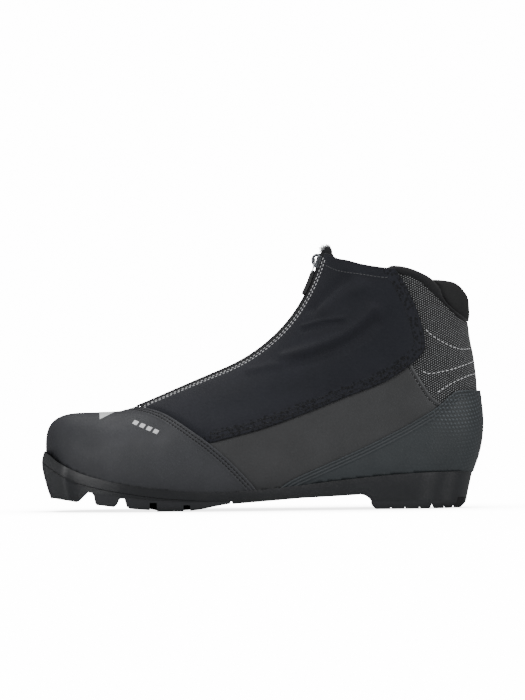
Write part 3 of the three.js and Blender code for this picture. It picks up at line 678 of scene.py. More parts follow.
# ---------------------------------------------------------------- materials
class Value:
    """A number that varies over the surface: a shader socket that can stand in sums."""

    def __init__(self, shader, socket):
        self.shader, self.socket = shader, socket

    def __add__(self, other):
        return self.shader.math("ADD", self, other)

    def __sub__(self, other):
        return self.shader.math("SUBTRACT", self, other)

    def __mul__(self, other):
        return self.shader.math("MULTIPLY", self, other)

    def __truediv__(self, other):
        return self.shader.math("DIVIDE", self, other)


class Shader:
    """A small helper for building procedural materials."""

    def __init__(self, name, metallic=0.0):
        self.material = bpy.data.materials.new(name)
        self.material.use_nodes = True
        self.tree = self.material.node_tree
        self.bsdf = self.tree.nodes["Principled BSDF"]
        self.bsdf.inputs["Metallic"].default_value = metallic
        self.coords = self.add("ShaderNodeTexCoord").outputs["Object"]

    def add(self, kind, **settings):
        node = self.tree.nodes.new(kind)
        for key, value in settings.items():
            setattr(node, key, value)
        return node

    def join(self, a, b):
        self.tree.links.new(a, b)

    def set(self, socket, value):
        if isinstance(value, Value):
            self.join(value.socket, socket)
        else:
            socket.default_value = value

    def value(self, node, output=0):
        return Value(self, node.outputs[output])

    def math(self, operation, a, b=0.0):
        node = self.add("ShaderNodeMath", operation=operation)
        for socket, value in zip(node.inputs, (a, b)):
            self.set(socket, value)
        return self.value(node)

    def noise(self, scale, detail=3.0, rough=0.55):
        node = self.add("ShaderNodeTexNoise")
        self.join(self.coords, node.inputs["Vector"])
        for key, x in (("Scale", scale), ("Detail", detail), ("Roughness", rough)):
            node.inputs[key].default_value = x
        return self.value(node, "Fac")

    def cells(self, scale, randomness=1.0):
        node = self.add("ShaderNodeTexVoronoi", feature="F1")
        self.join(self.coords, node.inputs["Vector"])
        node.inputs["Scale"].default_value = scale
        node.inputs["Randomness"].default_value = randomness
        return self.value(node, "Distance")

    def range(self, value, low, high, to_low=0.0, to_high=1.0):
        node = self.add("ShaderNodeMapRange", clamp=True)
        keys = ("Value", "From Min", "From Max", "To Min", "To Max")
        for key, x in zip(keys, (value, low, high, to_low, to_high)):
            self.set(node.inputs[key], x)
        return self.value(node, "Result")

    def mix(self, factor, a, b):
        node = self.add("ShaderNodeMix", data_type="RGBA")
        for key, x in (("Factor", factor), ("A", a), ("B", b)):
            self.set(node.inputs[key], x)
        return self.value(node, "Result")

    def attribute(self, name):
        return self.value(self.add("ShaderNodeAttribute", attribute_name=name), "Fac")

    def flat(self):
        """The two flat coordinates in millimetres."""
        split = self.add("ShaderNodeSeparateXYZ")
        self.join(self.add("ShaderNodeUVMap", uv_map="flat").outputs["UV"], split.inputs[0])
        return self.value(split, 0), self.value(split, 1)

    def mottled(self, color, dark, light, scale, detail):
        """The colour varied in large soft patches."""
        patches = self.range(self.noise(scale, detail), 0.3, 0.7)
        return self.mix(patches, shade(color, dark), shade(color, light))

    def rubbed(self):
        """Patchy wear along real edges."""
        return self.range(self.attribute("edge"), 0.9, 0.1) * self.range(self.noise(160, 3), 0.3, 0.65)

    def distance_in_cell(self, u, v):
        """Distance from the middle of square cells whose sides are 1."""
        squares = [self.math("POWER", self.math("FRACT", x) - 0.5, 2.0) for x in (u, v)]
        return self.math("SQRT", squares[0] + squares[1])

    def finish(self, color, bump, distance, strength, rough, sheen=0.0):
        self.set(self.bsdf.inputs["Base Color"], color)
        node = self.add("ShaderNodeBump")
        node.inputs["Strength"].default_value = strength
        node.inputs["Distance"].default_value = distance
        self.set(node.inputs["Height"], bump)
        self.join(node.outputs["Normal"], self.bsdf.inputs["Normal"])
        self.set(self.bsdf.inputs["Roughness"], rough)
        if sheen:
            self.bsdf.inputs["Sheen Weight"].default_value = sheen
            self.bsdf.inputs["Sheen Roughness"].default_value = 0.5
        return self.material


def shade(color, by):
    """A colour made lighter or darker, with full alpha."""
    return (*[c * by for c in color], 1.0)


def leather(name, color, rough=0.55, wear=1.35):
    """Coated leather: small rounded grain, faint mottling, and lighter rubbed edges."""
    s = Shader(name)
    height = s.cells(1400, 0.9) * 0.7 + s.noise(3200, 2) * 0.5
    base = s.mix(s.rubbed(), s.mottled(color, 0.9, 1.12, 45, 4), shade(color, wear))
    return s.finish(base, height, 0.00016, 0.5, s.range(s.noise(70, 3), 0.3, 0.7, rough - 0.05, rough + 0.07))


def cloth(name, color, pitch=0.55, rough=0.85, sheen=0.15, variation=0.18):
    """Plain woven or knitted cloth: crossing threads, with slight colour variation."""
    s = Shader(name)
    x, z = s.flat()
    turns = 2 * math.pi / pitch
    weave = s.math("SINE", x * turns) * s.math("SINE", z * turns)
    base = s.mottled(color, 1 - variation, 1 + variation, 90, 4)
    base = s.mix(s.range(weave, -1, 1, 0.0, 0.35), base, shade(color, 1.5))
    return s.finish(base, weave * 0.3 + s.noise(2600, 3), 0.00012, 0.6, rough, sheen)


def moulded(name, color, rough=0.42, wear=1.3):
    """Moulded plastic or rubber: fine spark texture, soft mottling and scuffs."""
    s = Shader(name)
    scuffs = s.range(s.noise(420, 6, 0.7), 0.62, 0.72) * 0.25
    base = s.mix(scuffs, s.mottled(color, 0.9, 1.12, 38, 5), shade(color, wear))
    rough_map = s.range(s.noise(60, 4), 0.3, 0.7, rough - 0.06, rough + 0.08)
    return s.finish(base, s.noise(2700, 3), 0.00006, 0.5, rough_map)


def metal(name, color, rough=0.25):
    """Plated metal with fine scratches."""
    s = Shader(name, metallic=1.0)
    scratches = s.noise(1500, 4)
    rough_map = s.range(scratches, 0.3, 0.7, rough - 0.07, rough + 0.1)
    return s.finish(s.mottled(color, 0.88, 1.05, 240, 3), scratches, 0.00002, 0.3, rough_map)


def basket_mesh(name):
    """Black basket weave with slanting rows of light thread crossings."""
    dark, light = (0.0035, 0.0037, 0.0043), (0.4, 0.408, 0.42)
    lean, pitch_u, pitch_v = math.radians(32), 1.8, 1.5
    s = Shader(name)
    x, z = s.flat()
    u = x * math.cos(lean) + z * math.sin(lean) + (s.noise(500, 2) - 0.5) * 0.35
    v = (z * math.cos(lean) - x * math.sin(lean)) / pitch_v
    every_other = s.math("MODULO", s.math("FLOOR", v), 2.0)
    dot = s.range(s.distance_in_cell((u + every_other * (pitch_u / 2)) / pitch_u, v), 0.29, 0.19)
    uneven = s.range(s.noise(700, 2), 0.35, 0.6, 0.5, 1.0)
    base = s.mix(dot * uneven, shade(dark, 1), shade(light, 1))
    return s.finish(base, dot + s.noise(2500, 2) * 0.3, 0.0002, 0.6, 0.75, sheen=0.1)


def softshell(name):
    """Stretch cloth with a fine twill, a speckled hem band whose lighter ground is painted sheen of its
    stitching, and a dark rim of painted shadow along its real edges.
    """
    color = (0.0152, 0.0162, 0.0232)
    s = Shader(name)
    x, z = s.flat()
    turns = 2 * math.pi / 0.6
    twill = s.math("SINE", (x + z) * turns) * s.math("SINE", (x - z) * turns)
    base = s.mottled(color, 0.88, 1.12, 55, 4)
    base = s.mix(s.range(s.noise(1500, 2), 0.5, 0.75, 0.0, 0.5), base, shade(color, 1.5))
    band = s.range(s.attribute("border"), 8.6, 7.9)
    specks = s.range(s.cells(430, 0.9), 0.5, 0.32)
    # painted sheen: the hem band's ground is lightened for the sheen of its stitching threads; the dark
    # specks on the next line are the stitch dots
    base = s.mix(band * 0.8, base, shade(color, 1.22))
    base = s.mix(band * s.range(specks, 0, 1, 0.0, 0.9), base, shade(color, 0.3))
    # painted shadow: the cloth is darkened within about a millimetre of its real edges, where the rim casts
    # shade
    base = s.mix(s.range(s.attribute("edge"), 1.1, 0.5, 0.0, 0.7), base, shade(color, 0.4))
    s.bsdf.inputs["Specular IOR Level"].default_value = 0.3
    height = twill * 0.25 + s.noise(2400, 3) - band * specks * 0.8
    return s.finish(base, height, 0.00014, 0.55, 0.7, sheen=0.08)


def counter_leather(name):
    """Coated leather with a grid of small raised dots that fades out towards the front; painted shade darkens
    the ground between the dots and a painted highlight lightens the dots.
    """
    color, pitch = (0.040, 0.047, 0.052), 2.8
    s = Shader(name)
    x, z = s.flat()
    reach = s.distance_in_cell((x + z * 0.45) / pitch, z / pitch)
    fade = s.range(s.attribute("fade"), 0.0, 1.0)
    pressed = s.range(reach, 0.16, 0.34) * fade
    raised = s.range(reach, 0.34, 0.22) * s.range(fade, 0.3, 0.9)
    # painted shade: the pressed ground between the dots is darkened
    base = s.mix(pressed * 0.5, s.mottled(color, 0.9, 1.12, 45, 4), shade(color, 0.5))
    # painted highlight: the raised dots are lightened as if lit from above
    base = s.mix(raised * 0.8, base, shade(color, 2.2))
    base = s.mix(s.rubbed(), base, shade(color, 1.4))
    return s.finish(base, s.cells(1500, 0.9) * 0.35 - pressed, 0.00025, 0.6, 0.5)


SLOTS = {}  # SLOTS = {} # material slot name of each finish
MAT = {}


def add_finish(key, slot, make, name, *settings, **more):
    SLOTS[key] = slot
    MAT[key] = make(name, *settings, **more)


add_finish("toe", "toe_leather", leather, "toe_leather", (0.0455, 0.047, 0.0535))
add_finish("quarter", "quarter_leather", leather, "quarter_leather", (0.047, 0.048, 0.0505))
add_finish("counter", "counter_leather", counter_leather, "counter_leather")
add_finish("cover", "softshell", softshell, "softshell")
add_finish("mesh", "ballistic_mesh", basket_mesh, "ballistic_mesh")
add_finish("collar", "collar_fabric", cloth, "collar_fabric", (0.0095, 0.0095, 0.0112), 0.5)
add_finish("pad", "pad_fabric", cloth, "pad_fabric", (0.0042, 0.0042, 0.005), 0.45, 0.7, 0.02)
add_finish("lining", "lining_fleece", cloth, "lining_fleece", (0.02, 0.02, 0.023), 0.9, 0.95, 0.4)
add_finish("tongue", "tongue_fabric", cloth, "tongue_fabric", (0.016, 0.016, 0.019), 0.8)
add_finish("footbed", "footbed_foam", cloth, "footbed_felt", (0.022, 0.024, 0.027), 1.1, 0.95, 0.4)
add_finish("vamp", "vamp_fabric", cloth, "vamp_fabric", (0.012, 0.012, 0.014), 0.8)
add_finish("webbing", "eyestay_webbing", cloth, "webbing", (0.011, 0.011, 0.013), 0.9)
add_finish("tape", "zip_tape", cloth, "zip_tape", (0.010, 0.010, 0.012), 0.6)
add_finish("sheet", "stiffener_sheet", moulded, "stiffener_sheet", (0.24, 0.25, 0.23), 0.7)
add_finish("board", "fibre_board", moulded, "fibre_board", (0.15, 0.11, 0.07), 0.8)
add_finish("sole", "sole_plastic", moulded, "sole_plastic", (0.0185, 0.0198, 0.0226), 0.36)
add_finish("tread", "tread_rubber", moulded, "tread_rubber", (0.028, 0.029, 0.033), 0.6)
add_finish("coil", "zip_coil", moulded, "zip_coil", (0.012, 0.012, 0.014), 0.35)
add_finish("tab", "tab_rubber", moulded, "tab_rubber", (0.032, 0.032, 0.033), 0.42)
add_finish("slider", "slider_metal", metal, "slider_metal", (0.2, 0.21, 0.225), 0.22)
add_finish("link", "link_metal", metal, "link_metal", (0.6, 0.61, 0.63), 0.2)
add_finish("bar", "steel_bar", metal, "steel_bar", (0.5, 0.51, 0.53))
add_finish("shank", "shank_steel", metal, "shank_steel", (0.3, 0.31, 0.33), 0.35)
add_finish("piping", "quarter_leather", cloth, "piping_cord", (0.085, 0.087, 0.09), 0.7, variation=0.3)
add_finish("fray", "zip_tape", cloth, "frayed_thread", (0.5, 0.51, 0.52), 0.4)
add_finish("thread_grey", "softshell", cloth, "grey_thread", (0.11, 0.112, 0.118), 0.4)
add_finish("thread_dark", "softshell", cloth, "dark_thread", (0.005, 0.005, 0.006), 0.4)
add_finish("thread_light", "softshell", cloth, "light_thread", (0.78, 0.79, 0.8), 0.4)
add_finish("mark", "toe_leather", moulded, "printed_mark", (0.9, 0.91, 0.92), 0.5)

# ---------------------------------------------------------------- panels of the upper
TOE_CAP_REAR = [(-88, 71), (-83.2, 70.3), (-76.4, 69.6), (-69.6, 67.6), (-62.8, 64.3), (-49.2, 55.3),
                (-35.6, 45.2), (-22.1, 33.1), (-8.6, 18.6), (-3, 11)]
COVER_LOW = [(-41, 44.5), (-28.8, 47.9), (-1.3, 55.1), (26.1, 64.4), (53.5, 75), (81, 85.3), (92, 91.5),
             (101.6, 98.4), (106, 102)]
COVER_BACK = [(106, 102), (109.2, 106.4), (110.7, 112), (107.5, 128.1), (102.4, 141.8), (96.8, 153.5),
              (90.4, 163)]
COVER_TOP = [(90.4, 163), (81.8, 163.9), (68.2, 166.3), (57.7, 169.2), (50.4, 170.7), (47.6, 172.4),
             (44, 174)]
COVER_TOP_STITCH = [(43.5, 165.4), (51, 162.2), (68.1, 159.3), (81.7, 157.1), (88, 157)]
COVER_FOLDS = [  # line in side view, half width, height
    ([(27, 125), (40, 128.5), (54, 130)], 1.4, 0.85), ([(28, 122), (42, 125.6), (55, 127.2)], 1.8, -0.8),
    ([(14, 104.5), (36, 111), (55, 118.8), (67, 127), (76, 136)], 3.6, 2.0),
    ([(20, 99), (42, 105.5), (62, 114), (77, 126)], 4, -1.7), ([(-8, 96), (6, 99), (20, 100)], 3.5, 0.9),
    ([(34, 137), (45, 148), (56, 157)], 4.5, -1.9), ([(42, 136), (55, 146), (68, 151)], 5.5, 1.1),
    ([(-30, 66), (0, 76), (30, 84)], 9, -0.7),
]
COUNTER_TOP = [(7, 12), (18.8, 20.1), (39.4, 29.4), (66.9, 41.4), (94.3, 54.8), (108.1, 62.5), (115, 66.5),
               (121.8, 71.6), (126.7, 76), (130.8, 79), (135.6, 80), (142.4, 79.9), (149, 79.4)]
QUARTER_MESH = [(89.5, 113), (94.5, 105), (99.8, 98.1), (104.5, 90.5), (109.2, 83), (113.2, 76.8),
                (118.5, 71.9), (128.5, 66)]
CUFF_TOP = [(86, 160.5), (94.1, 159.2), (102.2, 156.9), (109, 153.2), (115.8, 147.2), (125.9, 137.5),
            (136.1, 128.5), (142, 126)]
COLLAR_TOP = [(84, 162.5), (88.6, 164.6), (95.5, 164.3), (102.3, 162.7), (109.1, 160), (115.9, 156.2),
              (122, 150)]
PAD_LOW = [(117.5, 155), (119.6, 151.2), (122.8, 144.9), (127.4, 138.3), (133.2, 132.2), (141.8, 126.4)]
PAD_TOP = [(117.5, 155), (124, 154.8), (131, 153.9), (134.5, 152.5), (137.4, 150.2), (139, 147.6)]
PAD_TOP_BACK = 147.4
ZIP_EDGE = 7.0  # the covers end this far from the middle of the zip
ZIP_TOP_DEG = -14.5


def toe_cap_outline():
    rear = side_line(TOE_CAP_REAR)
    s_low = from_flat(rear[-1:])[0][0]
    return [("seam", front_line(0, station_of_x(-88))), ("edge", rear), ("sole", sole_line(s_low, 0))]


TOE_CAP_OUTLINE = toe_cap_outline()
TOE_CAP_EDGE = TOE_CAP_OUTLINE[1][1]
TOE_CAP_POLYGON = np.concatenate([line for _, line in TOE_CAP_OUTLINE])


def behind_toe_cap(flat):
    """Distance behind the toe cap's rear edge; nought and less under the cap."""
    gap = distance_to(flat, [TOE_CAP_EDGE])
    return np.where(inside_polygon(flat, TOE_CAP_POLYGON), -gap, gap)


STITCH_ROWS = (2.4, 4.8)


TOE_ROWS = (0.12, 0.3, 0.55, 0.8, 1.3, 1.8, 2.1, 2.4, 2.7, 3.0, 3.6, 4.2, 4.5, 4.8, 5.1, 5.4, 6.0, 6.6, 7.2,
            8.0, 9.2)


def toe_cap_relief(flat, edge, side):
    """A rounded edge and two sewn grooves in a slightly raised border."""
    height = rounded(edge, 0.8) + 0.22 * (1 - ramp(6.4, 7.6, edge))
    for row in STITCH_ROWS:
        height += groove(edge, row, 0.5, 0.32)
    return height


def add_toe_cap():
    panel("toe_cap_shell", TOE_CAP_OUTLINE, 0, "toe", ["toe_cap"], relief=toe_cap_relief, rows=TOE_ROWS)


def quarter_outline():
    under_cap = side_line([(-72, 46), (-62, 39), (-48, 31), (-34, 20), (-28, 12)])
    s_front = from_flat(under_cap[-1:])[0][0]
    s_back = station_below(95, 20)
    under_counter = side_line([(95, 20), (112, 50), (128.5, 66)])
    mesh_edge = side_line(QUARTER_MESH[::-1])
    under_cover = side_line([(89.5, 113), (70, 92), (30, 75), (-20, 59), (-45, 52), (-60, 48), (-72, 46)])
    return [("hidden", under_cap), ("sole", sole_line(s_front, s_back)), ("hidden", under_counter[3:]),
            ("edge", mesh_edge), ("hidden", under_cover)]


def quarter_relief(flat, edge, side):
    """A rounded edge with a stitched groove at the mesh; the hidden part dives under the cover."""
    cover = np.concatenate([line[:-1] for _, line in cover_outline()])
    covered = np.where(inside_polygon(flat, cover), distance_to(flat, [side_line(COVER_LOW)]), 0)
    return rounded(edge, 0.4) + groove(edge, 2.2, 0.6, 0.6) - 1.4 * ramp(0.3, 4, covered)


def add_quarters():
    outline = quarter_outline()
    for side, word in SIDES:
        panel(f"quarter_{word}_shell", outline, QUARTER_DEPTH, "quarter", [f"quarter_{word}"], (side,),
              relief=quarter_relief)


INSTEP_RISE = [(-94, 0), (-80, 1.2), (-40, 1.1), (0, 0.4), (20, 0.3), (40, 1.2), (60, 1.2)]  # by x


def instep_rise(flat):
    """How far the zip and the covers beside it stand above the surface."""
    s, v = from_flat(flat)
    return through(INSTEP_RISE, at_station(STATIONS, s)[:, 0]) * (1 - ramp(5, 30, v))


FOLD_SHIFT = 6  # the folds lie this far forward on the inner side


def cover_relief(flat, edge, side):
    """Rounded edges, a dip under the toe cap's edge, and the folds of the loose cloth."""
    behind = behind_toe_cap(flat)
    height = rounded(edge, 0.6) - 1.5 * (1 - ramp(-1, 6, behind))
    shift = 0 if side == LATERAL else FOLD_SHIFT
    for points, half, rise in COVER_FOLDS:
        crease = side_line([(x - shift, z + shift / 2) for x, z in points])
        height = height + rise * np.exp(-((distance_to(flat, [crease]) / half) ** 2))
    return height + instep_rise(flat) * ramp(0, 8, behind)


def cover_outline():
    hidden = side_line([(-41, 44.5), (-60, 57), (-74, 64), (-90, 67)])
    front = front_line(station_of_x(-92), station_of_deg(ZIP_TOP_DEG), ZIP_EDGE)
    top = np.vstack([front[-1:], side_line(COVER_TOP)[::-1]])
    return [("edge", front), ("edge", resample(top, 1)), ("edge", side_line(COVER_BACK)[::-1]),
            ("edge", side_line(COVER_LOW)[::-1]), ("hidden", hidden)]


def add_covers():
    outline = cover_outline()
    hems = [side_line(COVER_BACK), side_line(COVER_LOW)]
    for side, word in SIDES:
        cover = panel(f"cover_{word}_sheet", outline, 0, "cover", [f"cover_{word}"], (side,), COVER_LIFT,
                      relief=cover_relief, pitch=1.4, extra=lambda flat: {"border": distance_to(flat, hems)})


HEEL_SEAM_Z = 24.9  # the heel counter and the sole meet here at the back
COUNTER_TOP_Z = 79.6
COUNTER_GROOVES, COUNTER_BORDER = (2.0, 4.1), 0.35
COUNTER_ROWS = (0.12, 0.3, 0.55, 0.9, 1.3, 1.7, 2.0, 2.3, 2.7, 3.3, 3.7, 4.0, 4.3, 4.8, 5.3, 5.8, 6.5, 7.5)


def counter_outline():
    top = at_back(side_line(COUNTER_TOP)[:-6], -1, COUNTER_TOP_Z)
    x_low = np.linspace(142.6, COUNTER_TOP[0][0], 60)
    low = to_flat(*from_side_view(x_low, feather(x_low) - 0.6))
    top[0] = low[-1]
    seam = back_line(station_at_back(COUNTER_TOP_Z), station_at_back(HEEL_SEAM_Z))
    return [("edge", top), ("seam", seam), ("sole", np.vstack([seam[-1:], low]))]


def counter_relief(flat, edge, side):
    """Two sewn grooves along a raised border."""
    grooves = sum(groove(edge, row, 0.45, 0.5) for row in COUNTER_GROOVES)
    return rounded(edge, 0.8) + grooves + COUNTER_BORDER * (1 - ramp(5.2, 6.0, edge))


def add_heel_counter():
    shell = panel("heel_counter_shell", counter_outline(), 0, "counter", ["heel_counter"],
                  relief=counter_relief, rows=COUNTER_ROWS)
    add_fade(shell)


def add_fade(shell):
    """How strongly the dots stand out, in bump, painted shade and painted highlight: full at the top rear
    corner and along the back, and none in front.
    """
    x, _, z = point_table(shell.data).T / MM
    corner = 1 - ramp(6, 32, np.hypot((x - 133) * 0.8, z - 70))
    rear = ramp(112, 146, x) * 0.55
    low = 0.3 * ramp(70, 130, x)
    add_attribute(shell.data, "fade", np.clip(np.maximum(np.maximum(corner, rear), low), 0, 1))


CUFF_LOW_Z, CUFF_TOP_Z = 64, 126.2  # heights on the back line
COLLAR_UP_Z, PAD_LOW_Z = 128.6, 126.4
LINING_TOP_Z, LINING_LOW_Z = 149.6, 31


def add_cuff():
    hidden_low = side_line([(150, 64), (135, 62), (118, 68), (104, 86), (92, 104), (84, 125), (84, 150),
                            (88, 164)])
    hidden_low = at_back(hidden_low, 0, CUFF_LOW_Z)
    top = at_back(side_line(CUFF_TOP), -1, CUFF_TOP_Z)
    seam = back_line(station_at_back(CUFF_TOP_Z), station_at_back(CUFF_LOW_Z))
    cuff = panel("cuff_mesh_sheet", [("hidden", hidden_low), ("edge", top), ("seam", seam)], CUFF_DEPTH,
                 "mesh", ["cuff_mesh"], relief=rounded_relief(0.5))


# a cushion's middle below the surface, its half thickness, and the width over which it closes
COLLAR_SHAPE, PAD_SHAPE = (2.6, 2.3, 3.4), (3.0, 2.9, 6.0)
PAD_PRESSURE, PAD_SWELL = 14.0, 1.2  # the pad's air pressure, and how far it may swell


def add_collar():
    low = at_back(side_line(CUFF_TOP), -1, CUFF_TOP_Z)
    seam = back_line(station_at_back(CUFF_TOP_Z), station_at_back(COLLAR_UP_Z))
    hidden = at_back(side_line([(140.5, 128.6), (131.5, 135), (125, 141.8), (122, 150)]), 0, COLLAR_UP_Z)
    top = side_line(COLLAR_TOP[::-1])
    front = np.stack([top[-1], low[0]])
    outline = [("edge", low), ("seam", seam), ("edge", hidden), ("edge", top), ("edge", front)]
    roll = cushion("collar_roll", outline, *COLLAR_SHAPE, "collar", ["collar_binding"])


def add_pad():
    low = at_back(side_line(PAD_LOW), -1, PAD_LOW_Z)
    top = at_back(side_line(PAD_TOP), -1, PAD_TOP_BACK)
    seam = back_line(station_at_back(PAD_LOW_Z), station_at_back(PAD_TOP_BACK))
    outline = [("edge", low), ("seam", seam), ("edge", top[::-1])]
    pad = cushion("achilles_cushion", outline, *PAD_SHAPE, "pad", ["achilles_pad"])
    inflate(pad, PAD_PRESSURE, PAD_SWELL)


# ---------------------------------------------------------------- inner layers
def band(name, ends, v0, v1, depth, lift, start, thick, finish, node, side, round_by, rise=0):
    """A strip beside the front line, between two distances from it, that may rise towards its inner edge."""
    def relief(flat, edge, side):
        v = from_flat(flat)[1]
        height = rounded(edge, round_by) + rise * (1 - ramp(mix(v0, v1, 0.3), mix(v0, v1, 0.6), v))
        return height + (instep_rise(flat) if rise else 0)
    inner, outer = front_line(*ends, v0), front_line(*ends, v1)
    outline = [("edge", inner), ("edge", np.stack([inner[-1], outer[-1]])), ("edge", outer[::-1]),
               ("edge", np.stack([outer[0], inner[0]]))]
    panel(name, outline, depth, finish, [node], (side,), lift, start, relief, thick, pitch=1.6)


TAPE_RISE = 2.2  # how far the tape's inner edge stands above its outer edge
TAPE_FROM, TAPE_TO, TAPE_THICK = 0.4, 11.5, 0.6  # distances from the front line
EYESTAY_FROM, EYESTAY_TO, EYESTAY_THICK = 16.5, 27.5, 1.2


def add_zip_tapes():
    ends = (station_of_x(-83.4), station_of_deg(-14.8))
    for side, word in SIDES:
        band(f"zip_tape_{word}_strip", ends, TAPE_FROM, TAPE_TO, TAPE_DEPTH, COVER_LIFT, COVER_LIFT_START,
             TAPE_THICK, "tape", f"zip_tape_{word}", side, 0.15, TAPE_RISE)


def add_eyestays():
    ends = (station_of_x(-50), station_of_deg(-17.5))
    for side, word in SIDES:
        band(f"eyestay_{word}_strip", ends, EYESTAY_FROM, EYESTAY_TO, 0, INNER_LIFT, LIFT_START,
             EYESTAY_THICK, "webbing", f"eyestay_{word}", side, 0.4)


LACE_LOOP_X = (-38, -22, -4, 12, 26)  # front points of the sections that carry a loop
LACE_LOOP_R, LACE_LOOP_V, LACE_LOOP_DEPTH, LACE_CORD_R = 1.9, 21.5, 0.4, 0.6


def add_lace_loops():
    """Five corded loops standing on each eyestay; their axes follow the instep."""
    turn = np.linspace(0, 2 * np.pi, 20, endpoint=False)
    s = np.array([station_of_x(x) for x in LACE_LOOP_X])
    v = np.full_like(s, LACE_LOOP_V)
    for side, word in SIDES:
        middle, out = placed(to_flat(s, v), side, LACE_LOOP_DEPTH, INNER_LIFT, LIFT_START)
        ahead, _ = placed(to_flat(s + 1, v), side, LACE_LOOP_DEPTH, INNER_LIFT, LIFT_START)
        forms = []
        for centre, normal, next_point in zip(middle, out, ahead):
            along = (next_point - centre) / np.linalg.norm(next_point - centre)
            across = np.cross(along, normal)
            path = centre + LACE_LOOP_R * (np.cos(turn)[:, None] * across + np.sin(turn)[:, None] * normal)
            forms.append(tube(path, along, LACE_CORD_R, LACE_CORD_R, 8, True))
        form_object(f"eyestay_{word}_loops", forms, "webbing")


def add_vamp():
    low = side_line([(-64, 72), (-57, 54), (-43, 44), (-30, 32), (-20, 20), (-13, 11)])
    s_top, s_low = from_flat(low[[0, -1]])[0]
    outline = [("seam", front_line(0, s_top)), ("hidden", low), ("sole", sole_line(s_low, 0))]
    vamp = panel("vamp_sheet", outline, VAMP_DEPTH, "vamp", ["vamp"], lift=VAMP_LIFT, start=LIFT_START,
                 pitch=3, thick=0.8)


INNER_TOP = [(52, 167.5), (68.2, 164.3), (81.8, 162), (95.5, 162.2), (102.3, 160.7), (109.1, 158.2),
             (117, 153.5), (124, 151), (131, 150), (137, 149.6)]


def add_lining():
    top = at_back(side_line(INNER_TOP), -1, LINING_TOP_Z)
    front = side_line([(52, 167.5), (42, 140), (20, 108), (-20, 84), (-45, 70)])
    low = side_line([(-45, 70), (-40, 30), (-38, 16)])
    seam = back_line(station_at_back(LINING_TOP_Z), station_at_back(LINING_LOW_Z))
    sole = sole_line(station_below(126, 24), from_flat(low[-1:])[0][0])
    outline = [("edge", top), ("seam", seam), ("hidden", np.stack([seam[-1], sole[0]])), ("sole", sole),
               ("hidden", low[::-1]), ("edge", front[::-1])]
    lining = panel("lining_fleece_sheet", outline, LINING_DEPTH, "lining", ["lining"], lift=INNER_LIFT,
                   start=LIFT_START, relief=rounded_relief(1.6, 1.4), pitch=2.6, thick=3.0)


def add_tongue():
    ends = (station_of_x(-62), station_of_deg(-15.4))
    seam, outer = front_line(*ends), front_line(*ends, 25)
    outline = [("seam", seam), ("edge", np.stack([seam[-1], outer[-1]])), ("edge", outer[::-1]),
               ("hidden", np.stack([outer[0], seam[0]]))]
    tongue = panel("tongue_pad", outline, TONGUE_DEPTH, "tongue", ["tongue"], lift=INNER_LIFT,
                   start=LIFT_START, relief=rounded_relief(3.0, 2.0), thick=4.2)


def add_footbed():
    """A thin shaped insole lying on the board."""
    rows, columns = 90, 31
    toe, heel, board_top, inset = -118, 136, 6, 8.5
    x, u = np.meshgrid(np.linspace(toe, heel, rows), np.linspace(-1, 1, columns), indexing="ij")
    x, u = x.ravel(), u.ravel()
    half = half_width(np.where(u < 0, LATERAL, MEDIAL), x, feather(x) + board_top, 1, 1, 1) - inset
    end = np.sqrt(np.clip(np.minimum((x - toe + 0.4) / 26, (heel - x + 0.4) / 24), 0, 1))
    across = u * half * end
    dish = 2.6 * np.abs(u) ** 3 * ramp(-40, 60, x) + 0.8 * np.abs(u) ** 4
    points = np.stack([x, swing(x) + across, feather(x) + board_top + 0.2 + dish], 1)
    starts = [i * columns + j for i in range(rows - 1) for j in range(columns - 1)]
    faces = [(k, k + columns, k + columns + 1, k + 1) for k in starts]
    edge = {"edge": np.full(len(x), NO_EDGE)}
    m = mesh_of("footbed_felt_sheet", points, faces, np.stack([x, across], 1), edge)
    o = piece("footbed_felt_sheet", m, "footbed", ["footbed"])
    thicken(o, 3)


# ---------------------------------------------------------------- stitches and zip
NO_EDGE = 9.0  # edge distance of pieces without rubbed edges


def ring_faces(rows, ring, loop=False):
    """Quads between rows of `ring` points; a loop's last row joins its first."""
    faces = []
    for i in range(rows if loop else rows - 1):
        here, there = i * ring, (i + 1) % rows * ring
        faces += [(here + k, here + (k + 1) % ring, there + (k + 1) % ring, there + k) for k in range(ring)]
    return faces


def end_faces(rows, ring):
    return [tuple(range(ring))[::-1], tuple((rows - 1) * ring + k for k in range(ring))]


def rod(a, b, up, half_wide, half_high, ring, caps):
    """One rounded rod from a to b."""
    along = -np.cos(np.linspace(0, np.pi, 2 * caps))[:, None]
    size = np.sqrt(np.clip(1 - along**2, 0.0, 1))
    size[0] = size[-1] = 0.25
    turn = np.linspace(0, 2 * np.pi, ring, endpoint=False)
    length = np.linalg.norm(b - a)
    axis = (b - a) / max(length, 1e-9)
    wide = np.cross(up, axis)
    wide /= max(np.linalg.norm(wide), 1e-9)
    high = np.cross(axis, wide)
    bulge = min(half_wide, length / 2)
    at_start = np.arange(2 * caps)[:, None] < caps
    centre = np.where(at_start, a + axis * bulge * (1 + along), b - axis * bulge * (1 - along))
    across = half_wide * np.cos(turn)[:, None] * wide + half_high * np.sin(turn)[:, None] * high
    points = (centre[:, None] + size[:, None] * across).reshape(-1, 3)
    return points, ring_faces(2 * caps, ring) + end_faces(2 * caps, ring)


def add_rods(name, starts, ends, ups, half_wide, half_high, finish, slot=None, ring=8, caps=3, stands_for=()):
    forms = [rod(a, b, up, half_wide, half_high, ring, caps) for a, b, up in zip(starts, ends, ups)]
    form_object(name, forms, finish, stands_for, slot=slot, weld=False, outward=False)


SUNK = 0.05  # a stitch lies this deep in its host, apart from its own thickness
BACK_GAP, BACK_GAP_FROM = 1.2, 30  # stitches keep this far from the back line, above this height on it


